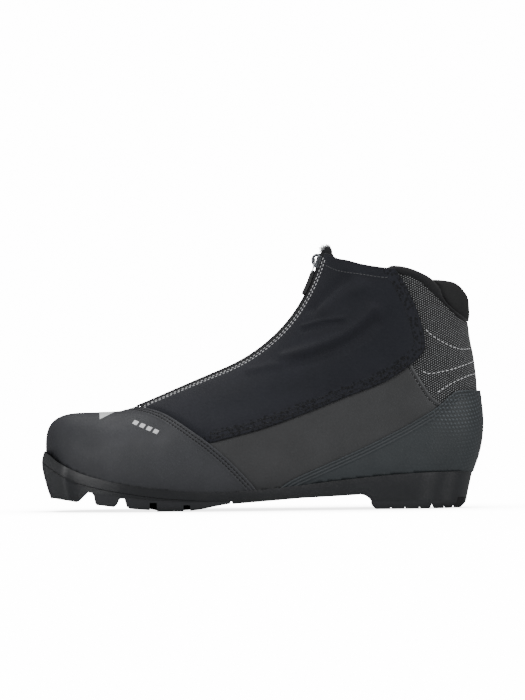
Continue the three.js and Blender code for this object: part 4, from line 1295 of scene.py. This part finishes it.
def stitches(name, line, finish, slot=None, pitch=2.6, share=0.78, half=0.24, depth=0, lift=0.0,
             relief=None, edges=(), zigzag=0.0):
    """A row of stitches on both sides, along a line in the flat; relief and edges are those of its host."""
    fine = resample(line, 0.4)
    s, v = from_flat(fine)
    clear = (v < total_at(s) - BACK_GAP) | (s < station_at_back(BACK_GAP_FROM))
    at = even_points(fine[clear], pitch)
    step = np.diff(at, axis=0)
    a, b = at[:-1], at[:-1] + step * share
    if zigzag:
        across = np.stack([-step[:, 1], step[:, 0]], 1)
        across /= np.maximum(np.linalg.norm(step, axis=1), 1e-9)[:, None]
        sign = np.where(np.arange(len(step)) % 2, 1, -1)[:, None]
        a, b = at[:-1] + across * zigzag * sign, at[1:] - across * zigzag * sign
    found = []
    for side in BOTH:
        heights = [relief(p, distance_to(p, edges), side) if relief else np.zeros(len(p)) for p in (a, b)]
        found.append([placed(p, side, depth + SUNK - half * 0.6, lift, height=height)
                      for p, height in zip((a, b), heights)])
    starts = np.concatenate([first[0] for first, _ in found])
    ends = np.concatenate([second[0] for _, second in found])
    ups = np.concatenate([first[1] for first, _ in found])
    add_rods(name, starts, ends, ups, half, half * 0.7, finish, slot, ring=6, caps=2)


CUFF_STITCHES = [
    [(111.5, 121.2), (116.2, 117.1), (122.3, 113.3), (129.1, 110.1), (135, 108.1), (140, 107.9),
     (144, 108.4)],
    [(109.1, 92.9), (112, 91.5), (115.2, 91.5), (128.9, 94.1), (142.9, 98.4), (145.6, 99.5)],
    [(119.2, 78.8), (128.8, 84.5), (139.8, 89.2), (146.8, 91.2)],
]


def add_stitches():
    fine = resample(TOE_CAP_EDGE, 0.5)
    for k, row in enumerate(STITCH_ROWS):
        line = offset_line(fine, row, turn_of(TOE_CAP_POLYGON))[4:-16]
        stitches(f"toe_stitch_{k + 1}", line, "thread_dark", "toe_leather", pitch=2.7, share=0.66, half=0.44,
                 relief=toe_cap_relief, edges=[TOE_CAP_EDGE])
    outline = cover_outline()
    turn = turn_of(np.concatenate([resample(line, 1.6)[:-1] for _, line in outline]))
    low, back = resample(outline[3][1], 0.8), resample(outline[2][1], 0.8)
    edges = [line for kind, line in outline if kind == "edge"]
    host = {"lift": COVER_LIFT, "relief": cover_relief, "edges": edges}
    for k, row in enumerate((2.7, 6.0)):
        stitches(f"cover_hem_stitch_{k + 1}", offset_line(low, row, turn)[6:-10], "thread_dark", pitch=1.3,
                 half=0.2, zigzag=0.75, **host)
    for k, row in enumerate((2.4, 7.6)):
        stitches(f"cover_back_stitch_{k + 1}", offset_line(back, row, turn)[8:-4], "thread_dark", pitch=2.4,
                 half=0.2, **host)
    for k, v in enumerate((8.5, 12.0)):
        line = front_line(station_of_x(-84), station_of_deg(-15.6), v)
        stitches(f"zip_stitch_{k + 1}", line, "thread_light", pitch=3.0, share=0.62, half=0.44, **host)
    for k, points in enumerate(CUFF_STITCHES):
        stitches(f"cuff_stitch_{k + 1}", side_line(points), "thread_light", "ballistic_mesh", pitch=3.5,
                 share=0.62, half=0.32, depth=CUFF_DEPTH)
    stitches("cover_top_stitch", side_line(COVER_TOP_STITCH), "thread_grey", share=0.75, **host)


COIL_PITCH, COIL_HALF_WIDE, COIL_HALF_HIGH = 1.42, 0.6, 0.75
COIL_FROM, COIL_TO, COIL_LEAN = 0.12, 2.75, 0.1  # distances from the front line, and a turn's slant


def add_zip_chains():
    s = np.linspace(station_of_x(-85.5), station_of_deg(-14.9), 1200)
    s_at = from_flat(even_points(to_flat(s, np.zeros_like(s)), COIL_PITCH))[0]
    for side, word in SIDES:
        stagger = 0.25 if side == LATERAL else 0.75
        shift = np.interp(np.arange(len(s_at) - 1) + stagger, np.arange(len(s_at)), s_at)
        inner = to_flat(shift, np.full_like(shift, COIL_FROM))
        outer = to_flat(shift + COIL_LEAN, np.full_like(shift, COIL_TO))
        a, n = placed(inner, side, 0.2, height=instep_rise(inner))
        b, _ = placed(outer, side, 0.55, height=instep_rise(outer))
        add_rods(f"zip_chain_{word}_coil", a, b, n, COIL_HALF_WIDE, COIL_HALF_HIGH, "coil",
                 stands_for=[f"zip_chain_{word}"])


# ---------------------------------------------------------------- slider, link, tab, folded tape and marks
def tube(path, fixed, half_fixed, half_other, ring=12, closed=False):
    """An oval rod swept along a path; `fixed` is the direction across it that one half size follows."""
    path = np.asarray(path, float)
    fixed = np.broadcast_to(fixed, path.shape)
    if closed:
        along = np.roll(path, -1, axis=0) - np.roll(path, 1, axis=0)
    else:
        along = np.gradient(path, axis=0)
    other = np.cross(along, fixed)
    other /= np.linalg.norm(other, axis=1)[:, None]
    turn = np.linspace(0, 2 * np.pi, ring, endpoint=False)
    points = (path[:, None] + fixed[:, None] * half_fixed * np.cos(turn)[:, None]
              + other[:, None] * half_other * np.sin(turn)[:, None]).reshape(-1, 3)
    ends = [] if closed else end_faces(len(path), ring)
    return points, ring_faces(len(path), ring, closed) + ends


def powered(value, power):
    """A power that keeps the sign, for superellipses."""
    return np.sign(value) * np.abs(value) ** power


def rounded_block(centre, axes, half, power, steps=14):
    """A closed block with rounded edges, from its half sizes along three directions."""
    lat = np.linspace(-np.pi / 2, np.pi / 2, steps + 1)[:, None]
    lon = np.linspace(0, 2 * np.pi, 2 * steps, endpoint=False)
    out, up = powered(np.cos(lat), 2 / power), powered(np.sin(lat), 2 / power)
    local = np.stack([out * powered(np.cos(lon), 2 / power), out * powered(np.sin(lon), 2 / power),
                      np.broadcast_to(up, (steps + 1, 2 * steps))], 2).reshape(-1, 3)
    return np.asarray(centre) + (local * half) @ np.asarray(axes), ring_faces(steps + 1, 2 * steps)


def joined(forms):
    points, faces, count = [], [], 0
    for p, f in forms:
        points.append(p)
        faces += [tuple(int(i) + count for i in face) for face in f]
        count += len(p)
    return np.concatenate(points), faces


def form_object(name, forms, finish, stands_for=(), body="boot", slot=None, weld=True, outward=True):
    points, faces = joined(forms)
    m = mesh_of(name, points, faces, points[:, [0, 2]], {"edge": np.full(len(points), NO_EDGE)}, weld)
    if outward:
        rework(m, outward=True)
    return piece(name, m, finish, stands_for, body, slot)


SLIDER_DEG = -17.7
LINK_PITCH, LINK_HALF_WIDTH, LINK_WIRE_R = 9.7, 3.1, 0.5
TAB_PAST_EYE = 1.9  # the tab runs on this far past its eye
ACROSS = np.array([0.0, 1.0, 0.0])
EYE_UP, EYE_OUT = 0.8, 3.7  # the slider's eye from its middle, up the zip and away from it
TAB_EYE = np.array([34.602, 0, 160.440])
TAB_END = np.array([28.3, 0, 145.4])


def slider_frame():
    """Middle of the slider, and the directions up the zip and away from the boot there."""
    a = math.radians(SLIDER_DEG)
    middle = np.array([ARC_X + ARC_R * math.cos(a), 0, ARC_Z + ARC_R * math.sin(a)])
    return middle, np.array([-math.sin(a), 0, math.cos(a)]), np.array([-math.cos(a), 0, -math.sin(a)])


def add_slider():
    middle, up, out = slider_frame()

    def block(u, y, n, half, power=5.0):
        return rounded_block(middle + up * u + ACROSS * y + out * n, (up, ACROSS, out), half, power)
    forms = [block(0, 0, 1.8, (5.0, 4.6, 1.1)), block(0, 0, -1.9, (4.8, 4.2, 0.5)),
             block(3.4, 0, -0.1, (1.1, 0.9, 1.8))]
    forms += [block(3.1, y, 1.75, (2.2, 1.7, 0.85), 3.0) for y in (2.6, -2.6)]
    forms += [block(-0.4, y, 0.6, (4.3, 0.5, 1.3)) for y in (-4.2, 4.2)]
    arch = smooth([(4.0, 1.9), (3.6, 3.6), (2.4, 4.8), (0.8, 5.15), (-1.2, 4.7), (-2.9, 3.5), (-3.7, 1.9)],
                  0.3)
    forms.append(tube(middle + arch[:, :1] * up + arch[:, 1:] * out, ACROSS, 1.9, 1.0))
    form_object("zip_slider_body", forms, "slider", ["zip_slider"], "slider")


def add_link():
    middle, up, out = slider_frame()
    eye = middle + up * EYE_UP + out * EYE_OUT
    along = (TAB_EYE - eye) / np.linalg.norm(TAB_EYE - eye)
    turn = np.linspace(0, 2 * np.pi, 56, endpoint=False)
    u = powered(np.cos(turn), 0.45)[:, None] * LINK_PITCH / 2
    y = powered(np.sin(turn), 0.45)[:, None] * LINK_HALF_WIDTH
    path = (eye + TAB_EYE) / 2 + u * along + y * ACROSS
    wire = tube(path, np.cross(along, ACROSS), LINK_WIRE_R, LINK_WIRE_R, 10, True)
    form_object("pull_link_wire", [wire], "link", ["pull_link"], "link")


def add_tab():
    """A moulded pull tab: thick round its eye, waisted, and ribbed across its grip."""
    along = (TAB_END - TAB_EYE) / np.linalg.norm(TAB_END - TAB_EYE)
    out = np.cross(ACROSS, along)
    length = np.linalg.norm(TAB_END - TAB_EYE) + TAB_PAST_EYE
    u = cosine_share(np.linspace(0, 1, 70))[:, None, None]
    turn = np.linspace(0, 2 * np.pi, 28, endpoint=False)[:, None]
    end = np.maximum((1 - (2 * u - 1) ** 12) ** 0.5, 0.02)
    width = mix(3.0, 4.1, ramp(0.15, 0.45, u)) * end
    ribs = 0.16 * np.sin(u * length * 2 * math.pi / 1.7) * ramp(0.3, 0.4, u) * (1 - ramp(0.88, 0.95, u))
    thick = (mix(1.6, 1.75, ramp(0.1, 0.4, u)) + ribs) * end
    centre = TAB_EYE + along * (u * length - TAB_PAST_EYE) - out * 0.5 * np.sin(math.pi * u)
    points = centre + powered(np.cos(turn), 0.4) * width * ACROSS + powered(np.sin(turn), 0.6) * thick * out
    faces = ring_faces(70, 28) + end_faces(70, 28)
    form_object("pull_tab_grip", [(points.reshape(-1, 3), faces)], "tab", ["pull_tab"], "tab")


FOLD = [(40.4, 171.8), (40.9, 175), (42.1, 177), (43.8, 178.2), (45.4, 178.5), (46.9, 177.9), (48, 176),
        (48.5, 173.5), (49.2, 171), (46, 171), (43, 171.2), (40.4, 171.8)]
FOLD_HALF, FOLD_RINGS = 4.8, 17
HAIRS, HAIR_R = 110, 0.17


def add_fold():
    """The zip's top end, folded back on itself and sewn down."""
    outline = smooth(FOLD, 0.7)[:-1]
    centre = outline.mean(0)
    around = np.linspace(0, 2 * np.pi, len(outline), endpoint=False)
    points = []
    for u in np.linspace(-1, 1, FOLD_RINGS):
        size = max((1 - u**6) ** 0.4, 0.15)
        wrinkle = 1 + 0.05 * np.sin(5 * around + 4 * u) + 0.04 * np.sin(11 * around - 7 * u)
        ring = centre + (outline - centre) * (size * wrinkle)[:, None]
        points.append(np.stack([ring[:, 0], np.full(len(ring), u * FOLD_HALF), ring[:, 1]], 1))
    faces = ring_faces(FOLD_RINGS, len(outline)) + end_faces(FOLD_RINGS, len(outline))
    form_object("zip_end_fold_tape", [(np.concatenate(points), faces)], "tape", ["zip_end_fold"])


def add_fray():
    """Frayed threads on the fold."""
    hairs = []
    for _ in range(HAIRS):
        a = rng.uniform(-0.2, 1.0)
        turn = a * 2.2
        start = np.array([44.5 - 3.4 * math.cos(turn), rng.uniform(-4.4, 4.4), 175.3 + 2.9 * math.sin(turn)])
        lean = np.array([rng.uniform(-1, 1), rng.uniform(-0.7, 0.7), rng.uniform(-0.2, 1.1)])
        lean /= np.linalg.norm(lean)
        curl = rng.normal(0, 0.35, 3)
        length = rng.uniform(1.0, 2.3)
        steps = np.linspace(0, 1, 6)[:, None]
        path = start + steps * lean * length + steps**2 * curl
        hairs.append(tube(path, ACROSS, HAIR_R, HAIR_R, 5))
    form_object("zip_end_fray", hairs, "fray", weld=False)


MARK_LIFT, MARK_THICK = 0.14, 0.12
BAR_START, BAR_SLOPE, BAR_LEAN = np.array([-87.4, 61.4]), math.radians(-23.5), 0.25
BAR_WIDE, BAR_HIGH, BAR_STEP, BAR_DROP, BAR_COUNT = 3.2, 3.0, 5.0, 2.2, 4


def add_marks():
    """Plain printed marks on the toe cap: a wedge across its top and a row of slanted bars on each side."""
    top = front_line(station_of_x(-111.5), station_of_x(-100.5))
    low = side_line([(-100.5, 67.4), (-105, 65.4), (-110.8, 62.6)])
    low[0] = top[-1]
    wedge = [("seam", top), ("edge", low), ("edge", np.stack([low[-1], top[0]]))]
    panel("toe_mark_wedge", wedge, -MARK_LIFT, "mark", thick=MARK_THICK, rows=(0.3, 0.8), pitch=1.2)
    run = np.array([math.cos(BAR_SLOPE), math.sin(BAR_SLOPE)])
    rise = np.array([-math.sin(BAR_SLOPE - BAR_LEAN), math.cos(BAR_SLOPE - BAR_LEAN)])
    for k in range(BAR_COUNT):
        corner = BAR_START + run * k * BAR_STEP - rise * BAR_DROP
        across, up = run * BAR_WIDE, rise * BAR_HIGH
        corners = [corner, corner + across, corner + across + up, corner + up]
        edges = [("edge", side_line([p, q])) for p, q in zip(corners, corners[1:] + corners[:1])]
        panel(f"toe_mark_bar_{k + 1}", edges, -MARK_LIFT, "mark", thick=MARK_THICK, rows=(0.3,), pitch=0.8)


def add_piping():
    """A cord sewn along the seam between each quarter and the cuff mesh."""
    line = resample(side_line(QUARTER_MESH), 1.0)
    for side, word in SIDES:
        path, normal = placed(line, side, PIPING_DEPTH)
        form_object(f"quarter_{word}_piping", [tube(path, normal, 0.5, 0.75, 10)], "piping")


# ---------------------------------------------------------------- sole
SOLE_LEVELS = [  # share of the way down, share of the width, shift of the toe end, shift of the heel end
    (0, 1, 0, 0), (0.25, 1, -2.4, -1.8), (0.62, 0.975, 1, -4.2), (0.88, 0.955, 5, -6), (1, 0.93, 7, -9.4),
]
OUTSOLE_LOW = [(-160, 9.1), (-141.9, 9.1), (-138.5, 8.4), (-126.9, 6.5), (-124.9, 7.5), (-119, 13.2),
               (-97, 10.6), (-75, 7.8), (-52, 6.4), (-21.8, 6.4), (-21, 4.6), (-2.5, 5.9), (25.5, 8),
               (52.8, 9.2), (66, 10), (69, 9.2), (71.4, 7.4), (73, 5.2), (160, 5.2)]
TREAD_TOP = [(-22.2, 6.3), (-52, 6.3), (-75, 7.7), (-97, 10.5), (-116.5, 12.9)]
TREAD_LOW = [(-115.2, 11), (-114.3, 6.1), (-113.3, 4.7), (-101.7, 3.2), (-99.6, 4.6), (-98.2, 8), (-97.2, 9),
             (-94.4, 8.9), (-92.8, 3.5), (-90.7, 2.1), (-77.4, 1.1), (-77.2, 6), (-72.5, 6), (-72.3, 0),
             (-54.5, 0), (-54.3, 4.2), (-50, 4.2), (-49.8, 0.3), (-42.9, 1.2), (-29.2, 3.8), (-23, 4.8)]
CENTRE_TREAD_LOW = [p for p in TREAD_LOW if not (-77.3 < p[0] < -72.4 or -54.4 < p[0] < -49.9)]
HEEL_TREAD_X, HEEL_TREAD_TOP, HEEL_CHAMFER = 73.2, 5.3, 2.6
HEEL_NICKS = (86.3, 95.8, 105.7, 122.5, 128.6)
NICK_HALF, NICK_HEIGHT = 0.5, 1.2
HEEL_NOTCH = [(112, -1), (113.9, 3), (115.8, -1)]
WELT = [(-150, 36), (-141, 28.5), (-131.5, 22), (-124.7, 19.2), (-111.1, 15.6), (-97.5, 13.1), (-83.8, 10.9),
        (-70.2, 9), (-56.5, 7.9), (-42.9, 7), (-30, 6.5), (150, 6)]
WELT_PROUD = 0.7
RIB_Y, RIB_HALF = 15.5, 4.6
RIB_CEILING = [(-117, 14.2), (-97, 11.6), (-75, 8.8), (-52, 7.6), (-21, 7.8), (25, 10.4), (70, 12), (77, 7.2),
               (160, 7.2)]
BAR_X, BAR_Z, BAR_R, BAR_LENGTH = -135.2, 12.4, 2, 40
SLOT_X, SLOT_HALF, SLOT_TOP = (-141.8, -128.6), 15, 19
SOLE_SIDE_STEPS = 110
NOSE_HALF, NOSE_WIDENING = 20, 0.3  # blunt front end of the sole, and its growth per millimetre of length


SOLE_GROW, SOLE_REAR_X = 1.1, 143.0
WELT_SHARES = (0, 0.1, 0.3, 0.6, 0.85, 0.97)
WALL_SHARES = (0.02, 0.1, 0.2, 0.32, 0.45, 0.58, 0.7, 0.8, 0.9, 1)


def sole_rings():
    """Rings of the sole's wall from its top edge to the ground."""
    u = np.arange(1, SOLE_SIDE_STEPS + 1) / SOLE_SIDE_STEPS
    ends = (float(back_x(feather(np.array(SOLE_REAR_X)))), TIP_X)
    side = np.concatenate([[MEDIAL], np.full(len(u), MEDIAL), np.full(len(u), LATERAL)])
    x = mix(*ends, cosine_share(np.concatenate([[0], u, u[::-1]])))
    w = half_width(side, x, feather(x), 1, 1, 1)
    out = w + SOLE_GROW * np.minimum(1, w / 10)
    nose = np.where(x < ARC_X, NOSE_HALF + NOSE_WIDENING * (x - TIP_X), 0)
    y = side * np.maximum(side * swing(x) + out, nose)
    top = feather(x) - 0.15
    welt = np.minimum(through(WELT, x), top - 3)
    rows = [(mix(top, welt, share), 1.0) for share in WELT_SHARES]
    rows += [(mix(welt, 0, share), 0.0) for share in WALL_SHARES]
    fade = 1 - ramp(-60, -25, x)
    rings = []
    for z, proud in rows:
        down = (feather(x) + 3 - z) / (feather(x) + 3)
        width, toe, heel = (through([(row[0], row[k]) for row in SOLE_LEVELS], down) for k in (1, 2, 3))
        px = x + toe * (1 - ramp(-150, -110, x)) + heel * ramp(70, SOLE_REAR_X, x)
        py = y * width
        grow = 1 + (proud - 1) * WELT_PROUD * fade / np.maximum(np.abs(py), 12)
        rings.append(np.stack([px, py * grow, z], 1))
    return rings


def closed_rings(rings):
    """Faces of a solid from rings of equal size, closed with strips across."""
    size = len(rings[0])
    half = size // 2
    points = np.concatenate(rings)
    faces = []
    for i in range(len(rings) - 1):
        for j in range(size):
            k = (j + 1) % size
            faces.append((i * size + j, (i + 1) * size + j, (i + 1) * size + k, i * size + k))
    low = (len(rings) - 1) * size
    for j in range(half):
        far, near, far_next = (size - j) % size, j + 1, size - j - 1
        for corner in ((j, near, far_next, far), (low + far, low + far_next, low + near, low + j)):
            faces.append(tuple(dict.fromkeys(corner)))
    return points, [f for f in faces if len(f) > 2]


def solid_object(name, points, faces):
    m = bare_mesh(name, points, faces)
    rework(m, 1e-7, triangles=True, outward=True)
    return new_object(name, m)


def prism(name, outline, y0, y1):
    """A side-view outline carried across the boot."""
    points = [(x, y, z) for y in (y0, y1) for x, z in outline]
    n = len(outline)
    return solid_object(name, points, ring_faces(2, n) + end_faces(2, n))


def rectangle(x0, x1, z0, z1):
    return [(x0, z0), (x1, z0), (x1, z1), (x0, z1)]


def rod_across(name, x, z, r, half, sides=32):
    turn = np.linspace(0, 2 * np.pi, sides, endpoint=False)
    return prism(name, [(x + r * math.cos(t), z + r * math.sin(t)) for t in turn], -half, half)


def combine(target, tools):
    """Applies cuts and overlaps, given as (operation, tool), to one object and removes the tools."""
    for operation, tool in tools:
        cut = target.modifiers.new("cut", "BOOLEAN")
        cut.operation = operation
        cut.object = tool
        cut.solver = "MANIFOLD"
    bpy.context.view_layer.update()
    done = target.evaluated_get(bpy.context.evaluated_depsgraph_get())
    mesh = bpy.data.meshes.new_from_object(done)
    target.modifiers.clear()
    target.data = mesh
    for _, tool in tools:
        bpy.data.objects.remove(tool)


def sole_piece(name, body_outline, y_range, cuts, finish, node):
    """The sole's form inside a side-view outline and a range across, with cuts and softened edges."""
    blank = solid_object(name, *closed_rings(sole_rings()))
    combine(blank, [("INTERSECT", prism("keep", body_outline, *y_range))] + [("DIFFERENCE", c) for c in cuts])
    m = blank.data
    m.shade_smooth()
    add_flat_map(m, point_table(m)[:, [0, 2]] / MM)
    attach(blank, "boot")
    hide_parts(node)
    soft = blank.modifiers.new("bevel", "BEVEL")
    soft.width = SOLE_BEVEL * MM
    soft.segments = 2
    soft.limit_method = "ANGLE"
    soft.angle_limit = math.radians(38)
    soft.harden_normals = True
    m.materials.clear()
    m.materials.append(MAT[finish])


WIDE = 80  # past both sides of the boot
SOLE_BEVEL = 0.35


def add_sole():
    cuts = [prism("slot", rectangle(*SLOT_X, -5, SLOT_TOP), -SLOT_HALF, SLOT_HALF),
            rod_across("seat", BAR_X, BAR_Z, BAR_R + 0.3, BAR_LENGTH / 2 + 0.3)]
    rib = [*RIB_CEILING, (160, -5), (-117, -5)]
    cuts += [prism("rib", rib, y - RIB_HALF, y + RIB_HALF) for y in (-RIB_Y, RIB_Y)]
    sole_piece("outsole_body", [*OUTSOLE_LOW, (160, 60), (-160, 60)], (-WIDE, WIDE), cuts, "sole", "outsole")
    strips = {"lateral": (-WIDE, -RIB_Y - RIB_HALF), "centre": (-RIB_Y + RIB_HALF, RIB_Y - RIB_HALF),
              "medial": (RIB_Y + RIB_HALF, WIDE)}
    heel = [(HEEL_TREAD_X, HEEL_CHAMFER), (HEEL_TREAD_X + HEEL_CHAMFER, 0), (150, 0), (150, HEEL_TREAD_TOP),
            (HEEL_TREAD_X, HEEL_TREAD_TOP)]
    for word, span in strips.items():
        forefoot = [*(CENTRE_TREAD_LOW if word == "centre" else TREAD_LOW), *TREAD_TOP]
        sole_piece(f"tread_forefoot_{word}_block", forefoot, span, [], "tread", f"tread_forefoot_{word}")
        cuts = [prism("notch", HEEL_NOTCH, -WIDE, WIDE)]
        cuts += [prism("nick", rectangle(x - NICK_HALF, x + NICK_HALF, -1, NICK_HEIGHT), -WIDE, WIDE)
                 for x in HEEL_NICKS]
        sole_piece(f"tread_heel_{word}_block", heel, span, cuts, "tread", f"tread_heel_{word}")


NODE_MATERIALS = {"toe_bar": "bar", "shank": "shank", "insole_board": "board", "toe_puff": "sheet",
                  "counter_stiffener": "sheet", "zip_bottom_stop": "link"}


def dress_nodes():
    """The CAD parts that are shown as they are get a finish."""
    for name, key in NODE_MATERIALS.items():
        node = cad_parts[name]
        node.data.materials.clear()
        node.data.materials.append(MAT[key])


# ---------------------------------------------------------------- floor, light and camera
FLOOR_HALF, FLOOR_DROP = 6, 0.0002


def add_stage():
    """A pale floor that glows white to the camera, with painted shadow: the glow is dimmed by ambient
    occlusion where the boot is near.
    """
    corners = [(-FLOOR_HALF, -FLOOR_HALF, 0), (FLOOR_HALF, -FLOOR_HALF, 0), (FLOOR_HALF, FLOOR_HALF, 0),
               (-FLOOR_HALF, FLOOR_HALF, 0)]
    m = bpy.data.meshes.new("floor")
    m.from_pydata(corners, [], [(0, 1, 2, 3)])
    s = Shader("floor_paper")
    paper, patches = (0.45, 0.455, 0.46), s.noise(3, 2)
    base = s.mix(patches, shade(paper, 0.99), shade(paper, 1.01))
    m.materials.append(s.finish(base, s.noise(40, 2), 0.0001, 0.05, 0.3))
    seen = s.value(s.add("ShaderNodeLightPath"), "Is Camera Ray")
    painted_floor_shadow = s.add("ShaderNodeAmbientOcclusion")
    painted_floor_shadow.inputs["Distance"].default_value = 0.12
    s.bsdf.inputs["Emission Color"].default_value = (1, 1, 1, 1)
    # painted shadow: the floor's glow to the camera falls off with ambient occlusion near the boot
    s.set(s.bsdf.inputs["Emission Strength"], s.range(s.value(painted_floor_shadow, "AO"), 0.35, 0.97, 3.5, 15.0) * seen)
    floor = new_object("floor", m)
    floor.location.z = -FLOOR_DROP


def add_light(name, place, aim, size, power):
    data = bpy.data.lights.new(name, "AREA")
    data.shape = "RECTANGLE"
    data.size, data.size_y = size
    data.energy = power
    o = new_object(name, data)
    o.location = place
    o.rotation_euler = (Vector(aim) - Vector(place)).to_track_quat("-Z", "Y").to_euler()


def add_lights():
    add_light("key", (-0.7, -1.5, 1.5), (0, 0, 0.08), (1.2, 1.0), 12)
    add_light("fill", (-1.5, -1.1, 0.35), (-0.08, 0, 0.04), (0.8, 0.6), 7)
    add_light("top", (0.1, 0.2, 1.5), (0, 0, 0.08), (1.4, 0.9), 11)
    add_light("rear", (1.3, -0.5, 0.6), (0.05, 0, 0.06), (0.6, 0.6), 6)
    add_light("heel", (0.75, -1.6, 0.25), (0.12, 0, 0.02), (0.6, 0.4), 3)


def add_world():
    """White to the camera, and dim as light."""
    world = bpy.data.worlds.new("studio")
    bpy.context.scene.world = world
    world.use_nodes = True
    tree = world.node_tree
    background = tree.nodes["Background"]
    seen = tree.nodes.new("ShaderNodeLightPath")
    level = tree.nodes.new("ShaderNodeMapRange")
    tree.links.new(seen.outputs["Is Camera Ray"], level.inputs["Value"])
    level.inputs["To Min"].default_value = 0.2
    level.inputs["To Max"].default_value = 15
    background.inputs[0].default_value = (1, 1, 1, 1)
    tree.links.new(level.outputs["Result"], background.inputs[1])


def add_camera():
    aim = Vector((0.0002, 0.0, 0.1083))
    view_width, distance = 0.3573, 8.0
    elevation, roll = math.radians(0.6), math.radians(-0.6)
    data = bpy.data.cameras.new("camera")
    camera = new_object("camera", data)
    bpy.context.scene.camera = camera
    data.sensor_fit = "HORIZONTAL"
    data.sensor_width = 36
    data.lens = data.sensor_width * distance / view_width
    back = Vector((0, -math.cos(elevation), math.sin(elevation)))
    camera.location = aim + back * distance
    turn = (-back).to_track_quat("-Z", "Y").to_matrix() @ Matrix.Rotation(roll, 3, "Z")
    camera.rotation_euler = turn.to_euler()


for add in (add_toe_cap, add_quarters, add_covers, add_heel_counter, add_cuff, add_collar, add_pad,
            add_lace_loops, add_slider, add_link, add_tab, add_fold, add_fray, add_marks, add_piping,
            add_zip_tapes, add_eyestays, add_vamp, add_lining, add_tongue, add_footbed, add_stitches,
            add_zip_chains, add_sole, dress_nodes, add_stage, add_lights, add_world, add_camera):
    add()
